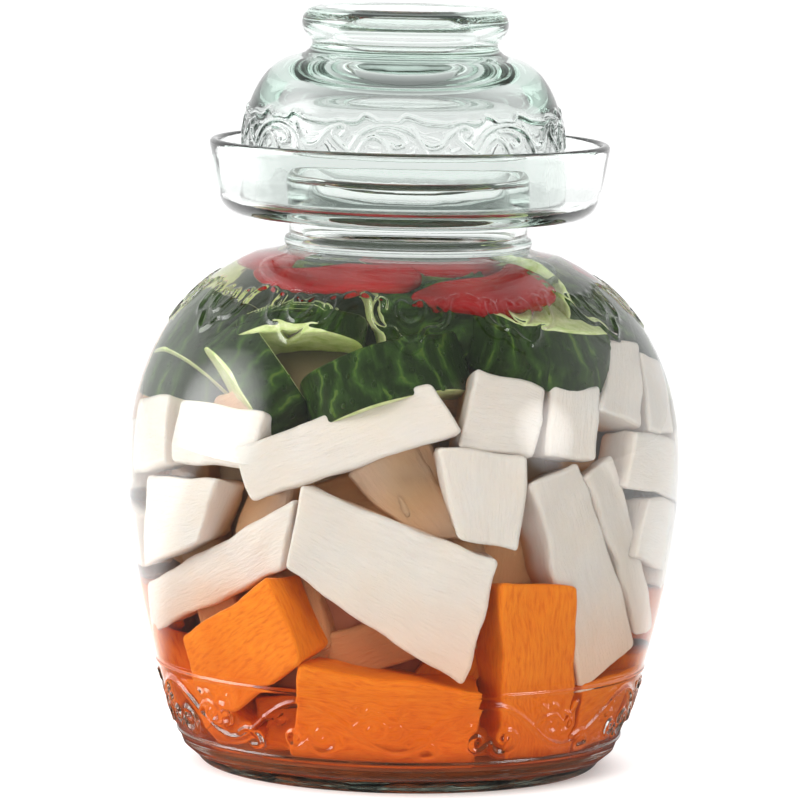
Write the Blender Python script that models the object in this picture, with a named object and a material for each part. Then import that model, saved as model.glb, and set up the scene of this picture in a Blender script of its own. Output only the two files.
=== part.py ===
"""A glass pickle jar with a water moat round its neck, an inverted-bowl lid standing in the moat,
and the vegetables that fill it: daikon, carrot, cucumber and red chillies.
Metres, +Z up, the base at z = 0 and the jar's axis at x = y = 0. The front faces -Y."""

import math
import random

import bmesh
import bpy
from mathutils import Matrix, Vector

MM = 0.001
MERGE = 2e-6

# Jar body
BODY_RADIUS = 0.0874
WIDEST_HEIGHT = 0.095
FOOT_RADIUS = 0.0600
FOOT_ROUNDING, FOOT_EDGE_HEIGHT = 0.0045, 0.0063
BELOW_DROP, BELOW_POWER = 0.0213, 1.8
SHOULDER_WIDTH, SHOULDER_RISE, SHOULDER_POWER = 0.0614, 0.0713, 2.19
SHOULDER_TOP = 0.1618
WALL = 0.0040
FLOOR = 0.0090
FLOOR_ROUNDING = 0.0075
LINE_HEIGHTS = (0.0104, 0.0326)
LINE_RELIEF, LINE_HALF = 0.0006, 0.0011

# Neck, bead and mouth
NECK_RADIUS, NECK_ROUNDING = 0.0377, 0.0015
NECK_FOOT_RADIUS, NECK_FOOT_HEIGHT = 0.0398, 0.1638
BEAD_RADIUS, BEAD_HEIGHT, BEAD_HALF = 0.0393, 0.1662, 0.0021
BORE_RADIUS, BORE_FOOT = 0.0340, 0.1660
MOUTH_RADIUS, MOUTH_HEIGHT, LIP_ROUNDING = 0.0383, 0.1870, 0.0018

# Dish that holds the water
DISH_BOTTOM, DISH_CORNER = 0.1743, 0.0075
DISH_FOOT_RADIUS, DISH_RIM_RADIUS, DISH_RIM_HEIGHT = 0.0600, 0.0632, 0.1981
DISH_WALL, DISH_RIM_ROUNDING, DISH_FLARE_POWER = 0.0030, 0.0015, 0.7
MOAT_FLOOR, MOAT_CORNER, MOUTH_FOOT_ROUNDING = 0.1785, 0.0030, 0.0012

# Lid
LID_SHIFT = -0.00215
TOUCH_GAP = 0.0003
LID_RADIUS, LID_WALL, LID_EDGE_ROUNDING = 0.0509, 0.0042, 0.0013
LID_FOOT = MOAT_FLOOR + TOUCH_GAP
DOME_START, DOME_WIDTH, DOME_RISE, DOME_SHARE = 0.1950, 0.0181, 0.0296, 0.93
WAIST_RADIUS, WAIST_HEIGHT, WAIST_FLARE, WAIST_DROP = 0.0293, 0.2283, 0.0021, 0.0028
RING_CENTRE, RING_TUBE, TOP = 0.0275, 0.0051, 0.2400
RECESS_RADIUS, RECESS_LEDGE_RADIUS, RECESS_LEDGE = 0.0232, 0.0220, 0.2300
RECESS_FLOOR_RADIUS, RECESS_FLOOR, RECESS_ROUNDING = 0.0195, 0.2245, 0.0020
CROWN_RADIUS, CROWN_HEIGHT, INNER_START, INNER_POWER = 0.0240, 0.2167, 0.1910, 2.4

JAR_SIDES, LID_SIDES, CORE_SIDES, ROUND_SIDES = 44, 36, 14, 11

# Flat-sided pieces against the front of the glass. Each row is the kind, then where the middle of
# the outer face is: degrees round the jar from the front, height and distance from the axis in mm.
# Then the face's turn from straight out, its tilt up and its spin in degrees, the length, the width
# at each end and the slant of each end's cut, and the thickness inwards.
BATONS = (
    ("daikon", -14.5, 110.4, 73.6, 1.0, 8.6, 20.8, 67.0, 18.0, 17.5, -5, -14, 19),
    ("daikon", -3.3, 70.0, 73.4, 1.2, -7.0, -27.3, 64.2, 26.3, 40.2, -16, -12, 22),
    ("daikon", 23.5, 119.0, 74.2, -1.0, 17.0, -13.6, 24.0, 24.4, 22.1, 4, 2, 20),
    ("daikon", 41.6, 115.7, 75.8, -0.4, 14.3, 73.5, 22.4, 18.8, 19.2, -7, -13, 18),
    ("daikon", 18.1, 94.4, 79.0, -0.7, 1.7, 94.4, 29.0, 18.2, 28.7, 19, 11, 19),
    ("daikon", 46.9, 69.5, 73.3, 2.5, -6.4, 117.6, 72.6, 27.1, 19.8, 0, 13, 19),
    ("daikon", 62.1, 74.7, 73.2, 4.4, -2.5, 124.4, 68.0, 11.3, 14.4, 33, 18, 16),
    ("daikon", 63.2, 125.4, 72.0, 1.1, 22.8, 52.9, 28.4, 20.9, 17.0, -17, -30, 18),
    ("daikon", 78.5, 119.0, 76.0, -1.9, 16.4, 66.0, 24.0, 22.5, 19.3, -14, -5, 16),
    ("daikon", 70.3, 99.8, 78.8, -1.0, -0.4, -10.8, 36.0, 17.7, 17.9, 8, -15, 18),
    ("daikon", 75.0, 78.5, 77.0, 0.0, -4.0, -12.0, 30.0, 20.0, 22.0, 6, -8, 18),
    ("daikon", -46.5, 109.3, 77.4, 0.4, 10.1, 0.3, 34.8, 19.3, 17.8, -1, 10, 18),
    ("daikon", -62.1, 82.3, 75.6, 2.5, -4.3, 11.4, 36.6, 28.6, 18.7, 24, 40, 18),
    ("daikon", -53.4, 66.0, 66.8, 2.6, -11.7, 24.7, 78.0, 14.6, 17.2, 38, 44, 20),
    ("daikon", 2.0, 93.0, 62.0, -0.3, -0.7, 126.4, 30.0, 14.0, 22.4, 40, 12, 18),
    ("daikon", -73.0, 105.7, 78.6, 0.2, 6.4, 12.8, 28.0, 23.2, 21.1, 2, 1, 16),
    ("carrot", -42.9, 43.8, 71.2, 1.3, -15.8, 31.2, 50.5, 28.5, 27.6, 25, 14, 22),
    ("carrot", -3.3, 26.0, 64.0, -0.5, -16.5, -4.8, 56.8, 33.0, 26.0, 1, 0, 22),
    ("carrot", 36.8, 40.4, 69.8, 0.0, -13.6, 101.5, 60.0, 26.5, 27.7, 15, 16, 22),
    ("carrot", -61.3, 24.5, 60.0, 3.7, -18.3, 131.7, 26.0, 19.0, 15.0, 30, 30, 18),
    ("carrot", 64.8, 26.0, 65.8, -1.5, -14.4, 6.6, 26.6, 25.4, 22.2, -9, 19, 18),
)

# Cucumber rounds, in the same order as far as the spin of the round's own axis, then that axis's
# lean out of the face, the radius and the length in mm. The place is the middle of the round.
ROUNDS = (
    (-6.4, 123.0, 52.0, 0, 20, 110, 0, 23.5, 17),
    (45.0, 135.0, 53.0, -30, -3, 80, 0, 22.5, 20),
    (-34.6, 138.0, 53.9, 34.6, 28, 82, 0, 20.0, 8),
    (8.6, 138.0, 33.0, 0, 40, 10, 0, 20.0, 34),
    (-45.5, 122.5, 58.0, 10, 20, 50, -16, 20.0, 15),
    (-80.0, 128.0, 54.0, 0, 30, 60, 0, 19.0, 25),
    (74.0, 137.0, 45.0, 0, 40, -35, 0, 18.0, 30),
)

# Chillies lie along arcs: the degrees, heights and distances from the axis of the stem's end and
# the tip's end in mm, how far the middle bows out, and the radius at the shoulder.
CHILLIES = (
    (4, 155.0, 45.0, -66, 154.0, 50.0, 4, 5.2),
    (52, 152.5, 52.0, 1, 150.5, 54.0, 2, 6.8),
    (50, 155.5, 33.0, -30, 156.0, 30.0, 8, 5.6),
    (-60, 153.0, 36.0, -150, 149.0, 46.0, 5, 5.8),
    (150, 150.0, 44.0, 84, 147.0, 50.0, 4, 6.0),
)

BACK_JITTER = 7.0
SIDE_COLUMNS = (94.0, -94.0)
SIDE_ROWS = (
    ("carrot", 30.0, 68.5, -13.0, 34.0, 27.0),
    ("carrot", 51.0, 74.0, -9.0, 36.0, 19.0),
    ("daikon", 73.0, 77.0, -4.0, 38.0, 20.0),
    ("daikon", 95.0, 78.0, 0.0, 34.0, 21.0),
)
WEDGE = 0.78
CLEAR = 0.0006
HEAP_TOP = 0.1600

# The core under the pieces: heights, and how far in from the wall it stays at each.
CORE_HEIGHTS = (FLOOR + CLEAR, 0.020, 0.045, 0.080, 0.110, 0.132, 0.146, 0.153)
CORE_INSETS = (0.010, 0.012, 0.016, 0.018, 0.019, 0.020, 0.022, 0.026)


def body_radius(z):
    """Outer radius of the jar's body at a height."""
    if z >= WIDEST_HEIGHT:
        t = min((z - WIDEST_HEIGHT) / SHOULDER_RISE, 1.0)
        return BODY_RADIUS - SHOULDER_WIDTH * (1 - math.sqrt(1 - t**SHOULDER_POWER))
    return BODY_RADIUS - BELOW_DROP * ((WIDEST_HEIGHT - z) / WIDEST_HEIGHT) ** BELOW_POWER


def arc(centre, radius, start, end, count):
    """Points (r, z) along a circle's arc, the angles in degrees from straight out."""
    turns = [math.radians(start + (end - start) * i / (count - 1)) for i in range(count)]
    return [(centre[0] + radius * math.cos(a), centre[1] + radius * math.sin(a)) for a in turns]


def body_outline(offset, low, high, count):
    """The body's outline moved inwards by a wall, from one height to another."""
    points = []
    for i in range(count):
        z = low + (high - low) * math.sin(math.pi / 2 * i / (count - 1)) ** 1.15
        slope = (body_radius(z + 1e-5) - body_radius(z - 1e-5)) / 2e-5
        scale = offset / math.hypot(1, slope)
        points.append((body_radius(z) - scale, z + scale * slope))
    return points


def jar_outline():
    """The jar's section from the middle of the base, up the outside and down the inside."""
    foot = arc((FOOT_RADIUS, FOOT_ROUNDING), FOOT_ROUNDING, -90, -25, 4)
    outer = body_outline(0.0, FOOT_EDGE_HEIGHT, SHOULDER_TOP, 17)
    for height in LINE_HEIGHTS:
        outer = [p for p in outer if abs(p[1] - height) > LINE_HALF * 1.6]
        radius = body_radius(height)
        outer += [
            (body_radius(height - LINE_HALF), height - LINE_HALF),
            (radius + LINE_RELIEF, height),
            (body_radius(height + LINE_HALF), height + LINE_HALF),
        ]
    outer.sort(key=lambda p: p[1])
    neck = [(NECK_FOOT_RADIUS, NECK_FOOT_HEIGHT)]
    neck += arc((BEAD_RADIUS - BEAD_HALF, BEAD_HEIGHT), BEAD_HALF, -70, 70, 5)
    neck += [(NECK_RADIUS, BEAD_HEIGHT + BEAD_HALF), (NECK_RADIUS, DISH_BOTTOM - NECK_ROUNDING)]
    dish = [(NECK_RADIUS + NECK_ROUNDING, DISH_BOTTOM)]
    dish += arc((DISH_FOOT_RADIUS - DISH_CORNER, DISH_BOTTOM + DISH_CORNER), DISH_CORNER, -90, 0, 5)
    start = DISH_BOTTOM + DISH_CORNER
    rise = DISH_RIM_HEIGHT - DISH_RIM_ROUNDING - start
    for share in (0.3, 1.0):
        flare = (DISH_RIM_RADIUS - DISH_FOOT_RADIUS) * share**DISH_FLARE_POWER
        dish.append((DISH_FOOT_RADIUS + flare, start + rise * share))
    rim = (DISH_RIM_RADIUS - DISH_RIM_ROUNDING, DISH_RIM_HEIGHT - DISH_RIM_ROUNDING)
    dish += arc(rim, DISH_RIM_ROUNDING, 45, 180, 4)
    corner = (DISH_FOOT_RADIUS - DISH_WALL - MOAT_CORNER, MOAT_FLOOR + MOAT_CORNER)
    moat = arc(corner, MOAT_CORNER, 0, -90, 3)
    moat += [(MOUTH_RADIUS + MOUTH_FOOT_ROUNDING, MOAT_FLOOR)]
    moat += [(MOUTH_RADIUS, MOAT_FLOOR + MOUTH_FOOT_ROUNDING)]
    moat += arc((MOUTH_RADIUS - LIP_ROUNDING, MOUTH_HEIGHT - LIP_ROUNDING), LIP_ROUNDING, 0, 180, 5)
    bore = [(BORE_RADIUS, MOUTH_HEIGHT - 2 * LIP_ROUNDING), (BORE_RADIUS, BORE_FOOT)]
    inner = body_outline(WALL, FLOOR + FLOOR_ROUNDING, SHOULDER_TOP - CLEAR, 15)[::-1]
    edge = inner[-1][0]
    base = arc((edge - FLOOR_ROUNDING, FLOOR + FLOOR_ROUNDING), FLOOR_ROUNDING, -18, -90, 4)
    return [(0, 0)] + foot + outer + neck + dish + moat + bore + inner + base + [(0, FLOOR)]


def lid_outline():
    """The lid's section from the middle of its crown's underside, out and up to the recess."""
    crown = [(0, CROWN_HEIGHT), (CROWN_RADIUS, CROWN_HEIGHT)]
    reach = LID_RADIUS - LID_WALL
    inner = []
    for share in (0.55, 0.8, 0.95, 1.0):
        r = CROWN_RADIUS + (reach - CROWN_RADIUS) * share
        fall = (CROWN_HEIGHT - INNER_START) * math.sqrt(1 - share**INNER_POWER)
        inner.append((r, INNER_START + fall))
    foot = [(reach, LID_FOOT + LID_EDGE_ROUNDING), (reach + LID_EDGE_ROUNDING, LID_FOOT)]
    foot += [(LID_RADIUS - LID_EDGE_ROUNDING, LID_FOOT), (LID_RADIUS, LID_FOOT + LID_EDGE_ROUNDING)]
    dome = []
    for i in range(9):
        t = math.sin(math.pi / 2 * i / 8 * DOME_SHARE)
        z = DOME_START + DOME_RISE * t
        dome.append((LID_RADIUS - DOME_WIDTH * (1 - math.sqrt(1 - t * t)), z))
    waist = [(WAIST_RADIUS + WAIST_FLARE, WAIST_HEIGHT - WAIST_DROP), (WAIST_RADIUS, WAIST_HEIGHT)]
    ring = arc((RING_CENTRE, TOP - RING_TUBE), RING_TUBE, -54, 126, 11)
    recess = [(RECESS_RADIUS, TOP - RING_TUBE * 0.6), (RECESS_LEDGE_RADIUS, RECESS_LEDGE)]
    recess += [(RECESS_FLOOR_RADIUS, RECESS_FLOOR + RECESS_ROUNDING / 3)]
    recess += [(RECESS_FLOOR_RADIUS - RECESS_ROUNDING, RECESS_FLOOR)]
    return crown + inner + foot + dome + waist + ring + recess + [(0, RECESS_FLOOR)]


def turned(name, outline, sides, shift=0.0):
    """A solid of revolution about a vertical axis. The outline starts and ends on the axis."""
    mesh = bpy.data.meshes.new(name)
    shape = bmesh.new()
    rings = []
    for r, z in outline:
        if r == 0:
            rings.append([shape.verts.new((shift, 0, z))])
            continue
        angles = [2 * math.pi * i / sides for i in range(sides)]
        rings.append(
            [shape.verts.new((shift + r * math.cos(a), r * math.sin(a), z)) for a in angles]
        )
    for low, high in zip(rings, rings[1:]):
        for i in range(sides):
            j = (i + 1) % sides
            corners = [low[i % len(low)], low[j % len(low)], high[j % len(high)], high[i % len(high)]]
            shape.faces.new(list(dict.fromkeys(corners)))
    bmesh.ops.recalc_face_normals(shape, faces=shape.faces)
    shape.to_mesh(mesh)
    shape.free()
    thing = bpy.data.objects.new(name, mesh)
    bpy.context.scene.collection.objects.link(thing)
    mesh.shade_smooth()
    mesh.set_sharp_from_angle(angle=math.radians(40))
    return thing


def face_frame(azimuth, height, distance, yaw, pitch, spin):
    """A place inside the jar and the three directions there: along, across and outwards."""
    around = math.radians(azimuth)
    place = Vector((math.sin(around), -math.cos(around), 0)) * distance * MM
    place.z = height * MM
    turn = Matrix.Rotation(math.radians(azimuth + yaw), 3, "Z")
    turn = turn @ Matrix.Rotation(math.radians(-pitch), 3, "X")
    outward, sideways, upward = (turn @ Vector(v) for v in ((0, -1, 0), (1, 0, 0), (0, 0, 1)))
    angle = math.radians(spin)
    along = sideways * math.cos(angle) + upward * math.sin(angle)
    return place, along, outward.cross(along), outward


def hull(name, points, home):
    """The convex solid round some points, in a collection."""
    shape = bmesh.new()
    for point in points:
        shape.verts.new(point)
    bmesh.ops.convex_hull(shape, input=shape.verts)
    loose = [v for v in shape.verts if not v.link_faces]
    bmesh.ops.delete(shape, geom=loose, context="VERTS")
    bmesh.ops.recalc_face_normals(shape, faces=shape.faces)
    mesh = bpy.data.meshes.new(name)
    shape.to_mesh(mesh)
    shape.free()
    home.objects.link(bpy.data.objects.new(name, mesh))


def cavity_radius(z):
    """Inner radius of the body at a height, less a little clearance."""
    z = min(max(z, FLOOR), SHOULDER_TOP)
    slope = (body_radius(z + 1e-5) - body_radius(z - 1e-5)) / 2e-5
    radius = body_radius(z) - (WALL + CLEAR) * math.hypot(1, slope)
    lift = max(FLOOR + FLOOR_ROUNDING - z, 0.0)
    return radius - FLOOR_ROUNDING + math.sqrt(max(FLOOR_ROUNDING**2 - lift**2, 0.0))


def kept_inside(point):
    """The point drawn in where it would reach into the glass."""
    point.z = min(max(point.z, FLOOR + CLEAR), HEAP_TOP)
    distance = math.hypot(point.x, point.y)
    share = min(1.0, cavity_radius(point.z) / max(distance, 1e-6))
    return Vector((point.x * share, point.y * share, point.z))


def baton(row, home):
    """A hand-cut piece with a flat outer face, a little narrower behind."""
    place, along, across, outward = face_frame(*row[1:7])
    length, start, end, slant_start, slant_end, thick = row[7:]
    points = []
    for inwards, share in ((0, 1.0), (thick * MM, WEDGE)):
        for side, width, slant in ((-0.5, start, slant_start), (0.5, end, slant_end)):
            for edge in (-0.5, 0.5):
                shift = side * length + edge * width * math.tan(math.radians(slant))
                spot = along * shift * MM * share + across * edge * width * MM * share
                points.append(kept_inside(place + spot - outward * inwards))
    hull(row[0], points, home)


def cucumber(row, home):
    """A round cut across a cucumber."""
    place, along, across, outward = face_frame(*row[:6])
    lean, radius, length = math.radians(row[6]), row[7] * MM, row[8] * MM
    axis = along * math.cos(lean) + outward * math.sin(lean)
    side = outward * math.cos(lean) - along * math.sin(lean)
    points = []
    for end in (-0.5, 0.5):
        for i in range(ROUND_SIDES):
            angle = 2 * math.pi * i / ROUND_SIDES
            spot = side * math.cos(angle) + across * math.sin(angle)
            points.append(kept_inside(place + axis * length * end + spot * radius))
    hull("cucumber", points, home)


def chilli(row, home, steps=7, sides=6):
    """A tapering pod along an arc, one hull for each stretch of it."""
    path = []
    for i in range(steps + 1):
        t = i / steps
        around, height, reach = (row[j] + (row[j + 3] - row[j]) * t for j in range(3))
        reach += row[6] * math.sin(math.pi * t)
        radius = row[7] * math.sqrt(max(1 - t**2.6, 0.02)) * min(1, 0.75 + 3 * t)
        angle = math.radians(around)
        place = Vector((math.sin(angle) * reach, -math.cos(angle) * reach, height)) * MM
        path.append((place, radius * MM))
    for (here, radius), (there, beyond) in zip(path, path[1:]):
        way = (there - here).normalized()
        across = way.cross(Vector((0, 0, 1))).normalized()
        above = across.cross(way)
        points = []
        for centre, size in ((here - way * 0.0004, radius), (there, beyond)):
            for k in range(sides):
                angle = 2 * math.pi * k / sides
                spot = across * math.cos(angle) + above * math.sin(angle)
                points.append(kept_inside(centre + spot * size))
        hull("chilli", points, home)


def layout():
    """Every piece of the heap: the front as listed, the back like it but turned and uneven."""
    draw = random.Random(11)
    batons, rounds = list(BATONS), list(ROUNDS)
    for row in BATONS:
        if abs(row[1]) < 72:
            moved = (row[0], 180 - row[1], row[2] + draw.uniform(-3, 3), row[3])
            turned_by = row[6] + draw.uniform(-BACK_JITTER, BACK_JITTER)
            sizes = tuple(size * draw.uniform(0.92, 1.04) for size in row[7:10])
            batons.append(moved + (row[4], row[5], 180 - turned_by) + sizes + row[10:])
    for row in ROUNDS:
        if abs(row[0]) < 72:
            moved = (180 - row[0], row[1] + draw.uniform(-3, 1), row[2], row[3], row[4])
            rounds.append(moved + (draw.uniform(-20, 20),) + row[6:])
    for column in SIDE_COLUMNS:
        for kind, height, distance, pitch, length, width in SIDE_ROWS:
            spin = draw.uniform(-14, 14)
            place = (kind, column + draw.uniform(-3, 3), height, distance, 0, pitch, spin)
            cuts = (draw.uniform(-9, 9), draw.uniform(-9, 9), 18)
            batons.append(place + (length, width, width * draw.uniform(0.85, 1.1)) + cuts)
        rounds.append((column + 10, 121.0, 53.0, 0, 14, 80 + draw.uniform(-20, 20), 0, 20.0, 22))
    return batons, rounds, CHILLIES


def core_outline():
    """The middle of the heap, under the pieces that show."""
    points = [(cavity_radius(z) - gap, z) for z, gap in zip(CORE_HEIGHTS, CORE_INSETS)]
    return [(0, CORE_HEIGHTS[0])] + points + [(0, CORE_HEIGHTS[-1])]


def keep_outer_surface(mesh):
    """Fills the hollows that fusing sealed and drops loose scraps."""
    shape = bmesh.new()
    shape.from_mesh(mesh)
    bmesh.ops.remove_doubles(shape, verts=shape.verts, dist=MERGE)
    unseen, shells = set(shape.faces), []
    while unseen:
        shell, front = [], [unseen.pop()]
        while front:
            face = front.pop()
            shell.append(face)
            near = {f for edge in face.edges for f in edge.link_faces} & unseen
            unseen -= near
            front += near
        shells.append(shell)
    shells.sort(key=lambda shell: sum(face.calc_area() for face in shell))
    spare = [face for shell in shells[:-1] for face in shell]
    bmesh.ops.delete(shape, geom=spare, context="FACES")
    shape.to_mesh(mesh)
    shape.free()


def heap():
    """The pieces and the core as one solid."""
    home = bpy.data.collections.new("pieces")
    bpy.context.scene.collection.children.link(home)
    batons, rounds, chillies = layout()
    for row in batons:
        baton(row, home)
    for row in rounds:
        cucumber(row, home)
    for row in chillies:
        chilli(row, home)
    core = turned("pickled_vegetables", core_outline(), CORE_SIDES)
    union = core.modifiers.new("pieces", "BOOLEAN")
    union.operation = "UNION"
    union.operand_type = "COLLECTION"
    union.collection = home
    union.solver = "MANIFOLD"
    bpy.context.view_layer.objects.active = core
    bpy.ops.object.modifier_apply(modifier=union.name)
    for thing in list(home.objects):
        bpy.data.objects.remove(thing)
    bpy.data.collections.remove(home)
    keep_outer_surface(core.data)
    core.data.shade_flat()
    return core


def material(name, colour, roughness, transmission=0.0):
    """A plain Principled material."""
    made = bpy.data.materials.new(name)
    made.use_nodes = True
    shader = made.node_tree.nodes["Principled BSDF"]
    shader.inputs["Base Color"].default_value = (*colour, 1.0)
    shader.inputs["Roughness"].default_value = roughness
    shader.inputs["Transmission Weight"].default_value = transmission
    shader.inputs["IOR"].default_value = 1.5
    return made


def main():
    for thing in list(bpy.data.objects):
        bpy.data.objects.remove(thing)
    jar = turned("jar", jar_outline(), JAR_SIDES)
    jar.data.materials.append(material("jar_glass", (0.90, 0.95, 0.92), 0.03, 1.0))
    lid = turned("lid", lid_outline(), LID_SIDES, LID_SHIFT)
    lid.data.materials.append(material("lid_glass", (0.91, 0.95, 0.93), 0.03, 1.0))
    vegetables = heap()
    vegetables.data.materials.clear()
    vegetables.data.materials.append(material("vegetables", (0.78, 0.72, 0.62), 0.45))


if __name__ == "__main__":
    main()
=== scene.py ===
"""Dresses the pickle jar: pressed glass with scroll bands, clear brine, and cut daikon, carrot,
cucumber and red chillies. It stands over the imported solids, in metres, +Z up, front at -Y."""

import math
import random

import bmesh
import bpy
import numpy as np
from bpy.props import FloatProperty, FloatVectorProperty, IntProperty, PointerProperty
from mathutils import Matrix, Vector, noise
from mathutils.kdtree import KDTree


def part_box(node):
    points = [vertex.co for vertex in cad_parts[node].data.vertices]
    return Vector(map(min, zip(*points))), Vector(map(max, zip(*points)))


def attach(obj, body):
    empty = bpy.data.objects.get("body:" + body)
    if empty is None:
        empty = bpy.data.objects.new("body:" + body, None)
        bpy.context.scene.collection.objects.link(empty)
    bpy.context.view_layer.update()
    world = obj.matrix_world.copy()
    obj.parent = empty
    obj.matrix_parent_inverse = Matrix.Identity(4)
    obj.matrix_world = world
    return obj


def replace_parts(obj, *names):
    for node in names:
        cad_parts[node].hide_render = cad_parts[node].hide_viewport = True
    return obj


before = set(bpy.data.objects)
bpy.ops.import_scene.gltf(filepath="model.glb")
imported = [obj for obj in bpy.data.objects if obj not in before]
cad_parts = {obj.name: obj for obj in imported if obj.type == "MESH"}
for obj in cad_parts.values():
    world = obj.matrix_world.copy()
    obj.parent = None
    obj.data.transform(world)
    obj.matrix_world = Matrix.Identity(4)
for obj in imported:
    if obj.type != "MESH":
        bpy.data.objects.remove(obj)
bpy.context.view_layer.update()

bl_info = {
    "name": "Pickle jar",
    "version": (1, 0, 0),
    "blender": (4, 5, 0),
    "location": "View3D > Sidebar > Pickle jar",
    "description": "Builds a water-seal pickle jar and the vegetables in it",
    "category": "Object",
}

JAR_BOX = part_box("jar")
LID_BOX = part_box("lid")
HEAP_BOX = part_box("pickled_vegetables")

MM = 0.001

# Jar body. The inner floor is a little lower than the solid's, and the base is pushed up.
BODY_RADIUS = round(JAR_BOX[1][0], 4)
WIDEST_HEIGHT = 0.095
FOOT_RADIUS, FOOT_ROUNDING = 0.0600, 0.0045
BELOW_DROP, BELOW_POWER = 0.0213, 1.8
SHOULDER_WIDTH, SHOULDER_RISE, SHOULDER_POWER = 0.0614, 0.0713, 2.19
SHOULDER_TOP = 0.1618
WALL, FLOOR, FLOOR_ROUNDING = 0.0040, 0.0056, 0.0075
PUSH_UP, FOOT_RING = 0.0026, 0.93
LINE_HEIGHTS = (0.0104, 0.0326)
LINE_RELIEF, LINE_HALF = 0.0006, 0.0011

# Neck, bead and mouth. The shoulder runs into the neck through points at so much past the neck's
# radius and at these heights.
NECK_RADIUS, NECK_ROUNDING = 0.0377, 0.0020
NECK_FOOT = ((0.0040, 0.1631), (0.0021, 0.1638), (0.0008, 0.1642))
NECK_HEIGHTS = (0.1690, 0.1715)
BEAD_RADIUS, BEAD_HEIGHT, BEAD_HALF = 0.0393, 0.1662, 0.0021
BORE_RADIUS, BORE_FOOT, BORE_FLARE = 0.0340, 0.1660, 0.0040
BORE_HEIGHTS = (0.1835, 0.1780, 0.1720)
MOUTH_RADIUS, MOUTH_HEIGHT, LIP_ROUNDING = 0.0383, 0.1870, 0.0018
MOUTH_FOOT_ROUNDING = 0.0012

# Dish that holds the water
DISH_BOTTOM, DISH_CORNER, DISH_UNDERSIDE = 0.1743, 0.0075, 0.0060
DISH_FOOT_RADIUS, DISH_RIM_RADIUS, DISH_RIM_HEIGHT = 0.0600, 0.0632, round(JAR_BOX[1][2], 4)
DISH_WALL, DISH_RIM_ROUNDING = 0.0030, 0.0015
DISH_FLARE_POWER, DISH_FLARE_END, DISH_WALL_END = 0.7, 0.0012, 0.0020
MOAT_FLOOR, MOAT_CORNER = 0.1785, 0.0030

# How uneven the pressing leaves the base and the sides of the dish's inner wall
BASE_WAVES, BASE_WAVE_SIZE = 0.0010, 0.008
DISH_WAVES, DISH_WAVE_WIDTH, DISH_WAVE_HEIGHT, DISH_WAVE_FADE = 0.0008, 0.011, 0.030, 0.005

# Lid. The waist's curve is given as steps out and up from its narrowest point.
LID_SHIFT = (LID_BOX[0][0] + LID_BOX[1][0]) / 2
LID_RADIUS, LID_WALL, LID_EDGE_ROUNDING = 0.0509, 0.0042, 0.0014
LID_FOOT = LID_BOX[0][2]
LID_WALL_HEIGHTS, LID_WALL_RISES = (0.186, 0.182), (0.006, 0.011)
DOME_START, DOME_WIDTH, DOME_RISE, DOME_SHARE = 0.1950, 0.0181, 0.0296, 0.93
WAIST_RADIUS, WAIST_HEIGHT = 0.0293, 0.2283
WAIST_CURVE = ((0.0021, -0.0028), (0.0007, -0.0016), (0, 0), (0.0002, 0.0010))
RING_CENTRE, RING_TUBE, TOP = 0.0275, 0.0051, LID_BOX[1][2]
RECESS_RADIUS, RECESS_EDGE, RECESS_LEDGE_WIDTH, RECESS_LEDGE = 0.0232, 0.0030, 0.0012, 0.2300
RECESS_FLOOR_RADIUS, RECESS_FLOOR, RECESS_ROUNDING = 0.0195, 0.2245, 0.0015
CROWN_RADIUS, CROWN_HEIGHT, INNER_DROP, INNER_POWER = 0.0240, 0.2167, 0.0040, 2.4

# Glass: how it bends light, how strongly its depth tints, and the ripple of the jar and the lid
GLASS_IOR, GLASS_DENSITY = 1.5, 20.0
JAR_RIPPLE, LID_RIPPLE = 0.05, 0.04
# The lid's scrolls are finer than the jar's by this share.
LID_SCROLLS = 0.8

# Brine: how far it reaches into the glass, and how its surface climbs at the wall, as steps in
# from the wall and down from its level
BRINE_IOR, BRINE_DEPTH_TINT, BRINE_DENSITY = 1.333, (0.9, 0.86, 0.74), 0.8
OVERLAP, BRINE_WALL_TOP, BRINE_EDGE = 0.00012, 0.1622, 0.0003
MENISCUS = ((0.0004, 0.0), (0.0018, 0.0005))
BRINE_DIP = 0.0007

# How finely the glass is turned, the steps of its rows in the order from the foot inwards, and
# how near a scroll's line its grid is split again
PLAIN_SIDES, BAND_SIDES = 100, 300
LID_PLAIN_SIDES, LID_BAND_SIDES = 144, 288
FOOT_STEP, BODY_STEP, TOP_STEP, DISH_STEP, INNER_STEP = 0.0012, 0.0040, 0.0014, 0.0040, 0.0045
BAND_STEP, LID_BAND_STEP, DOME_STEP, BRINE_STEP = 0.0015, 0.0011, 0.0012, 0.0030
LINE_GAP, BAND_GAP, INNER_GAP = 0.0008, 0.001, 0.0004
SPLIT_REACH, ON_WALL = (0.0013, 0.0007), 0.0004

# Where the scroll bands run, how often each repeats round the glass, where its first tile is and
# the height at which its widths are true
FOOT_BAND, FOOT_REPEATS, FOOT_CREST = (0.0118, 0.0312), 8, -23.0
SHOULDER_BAND, SHOULDER_REPEATS, SHOULDER_TIP, SHOULDER_MIDDLE = (0.1370, 0.1600), 12, 1.0, 0.1420
LID_BAND, LID_REPEATS, LID_ARCH, LID_MIDDLE = (0.1950, 0.2100), 8, -5.5, 0.2000
VINE_MIDDLE, VINE_SWING, FOOT_RELIEF = 22.4, 7.2, 1.5

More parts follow.
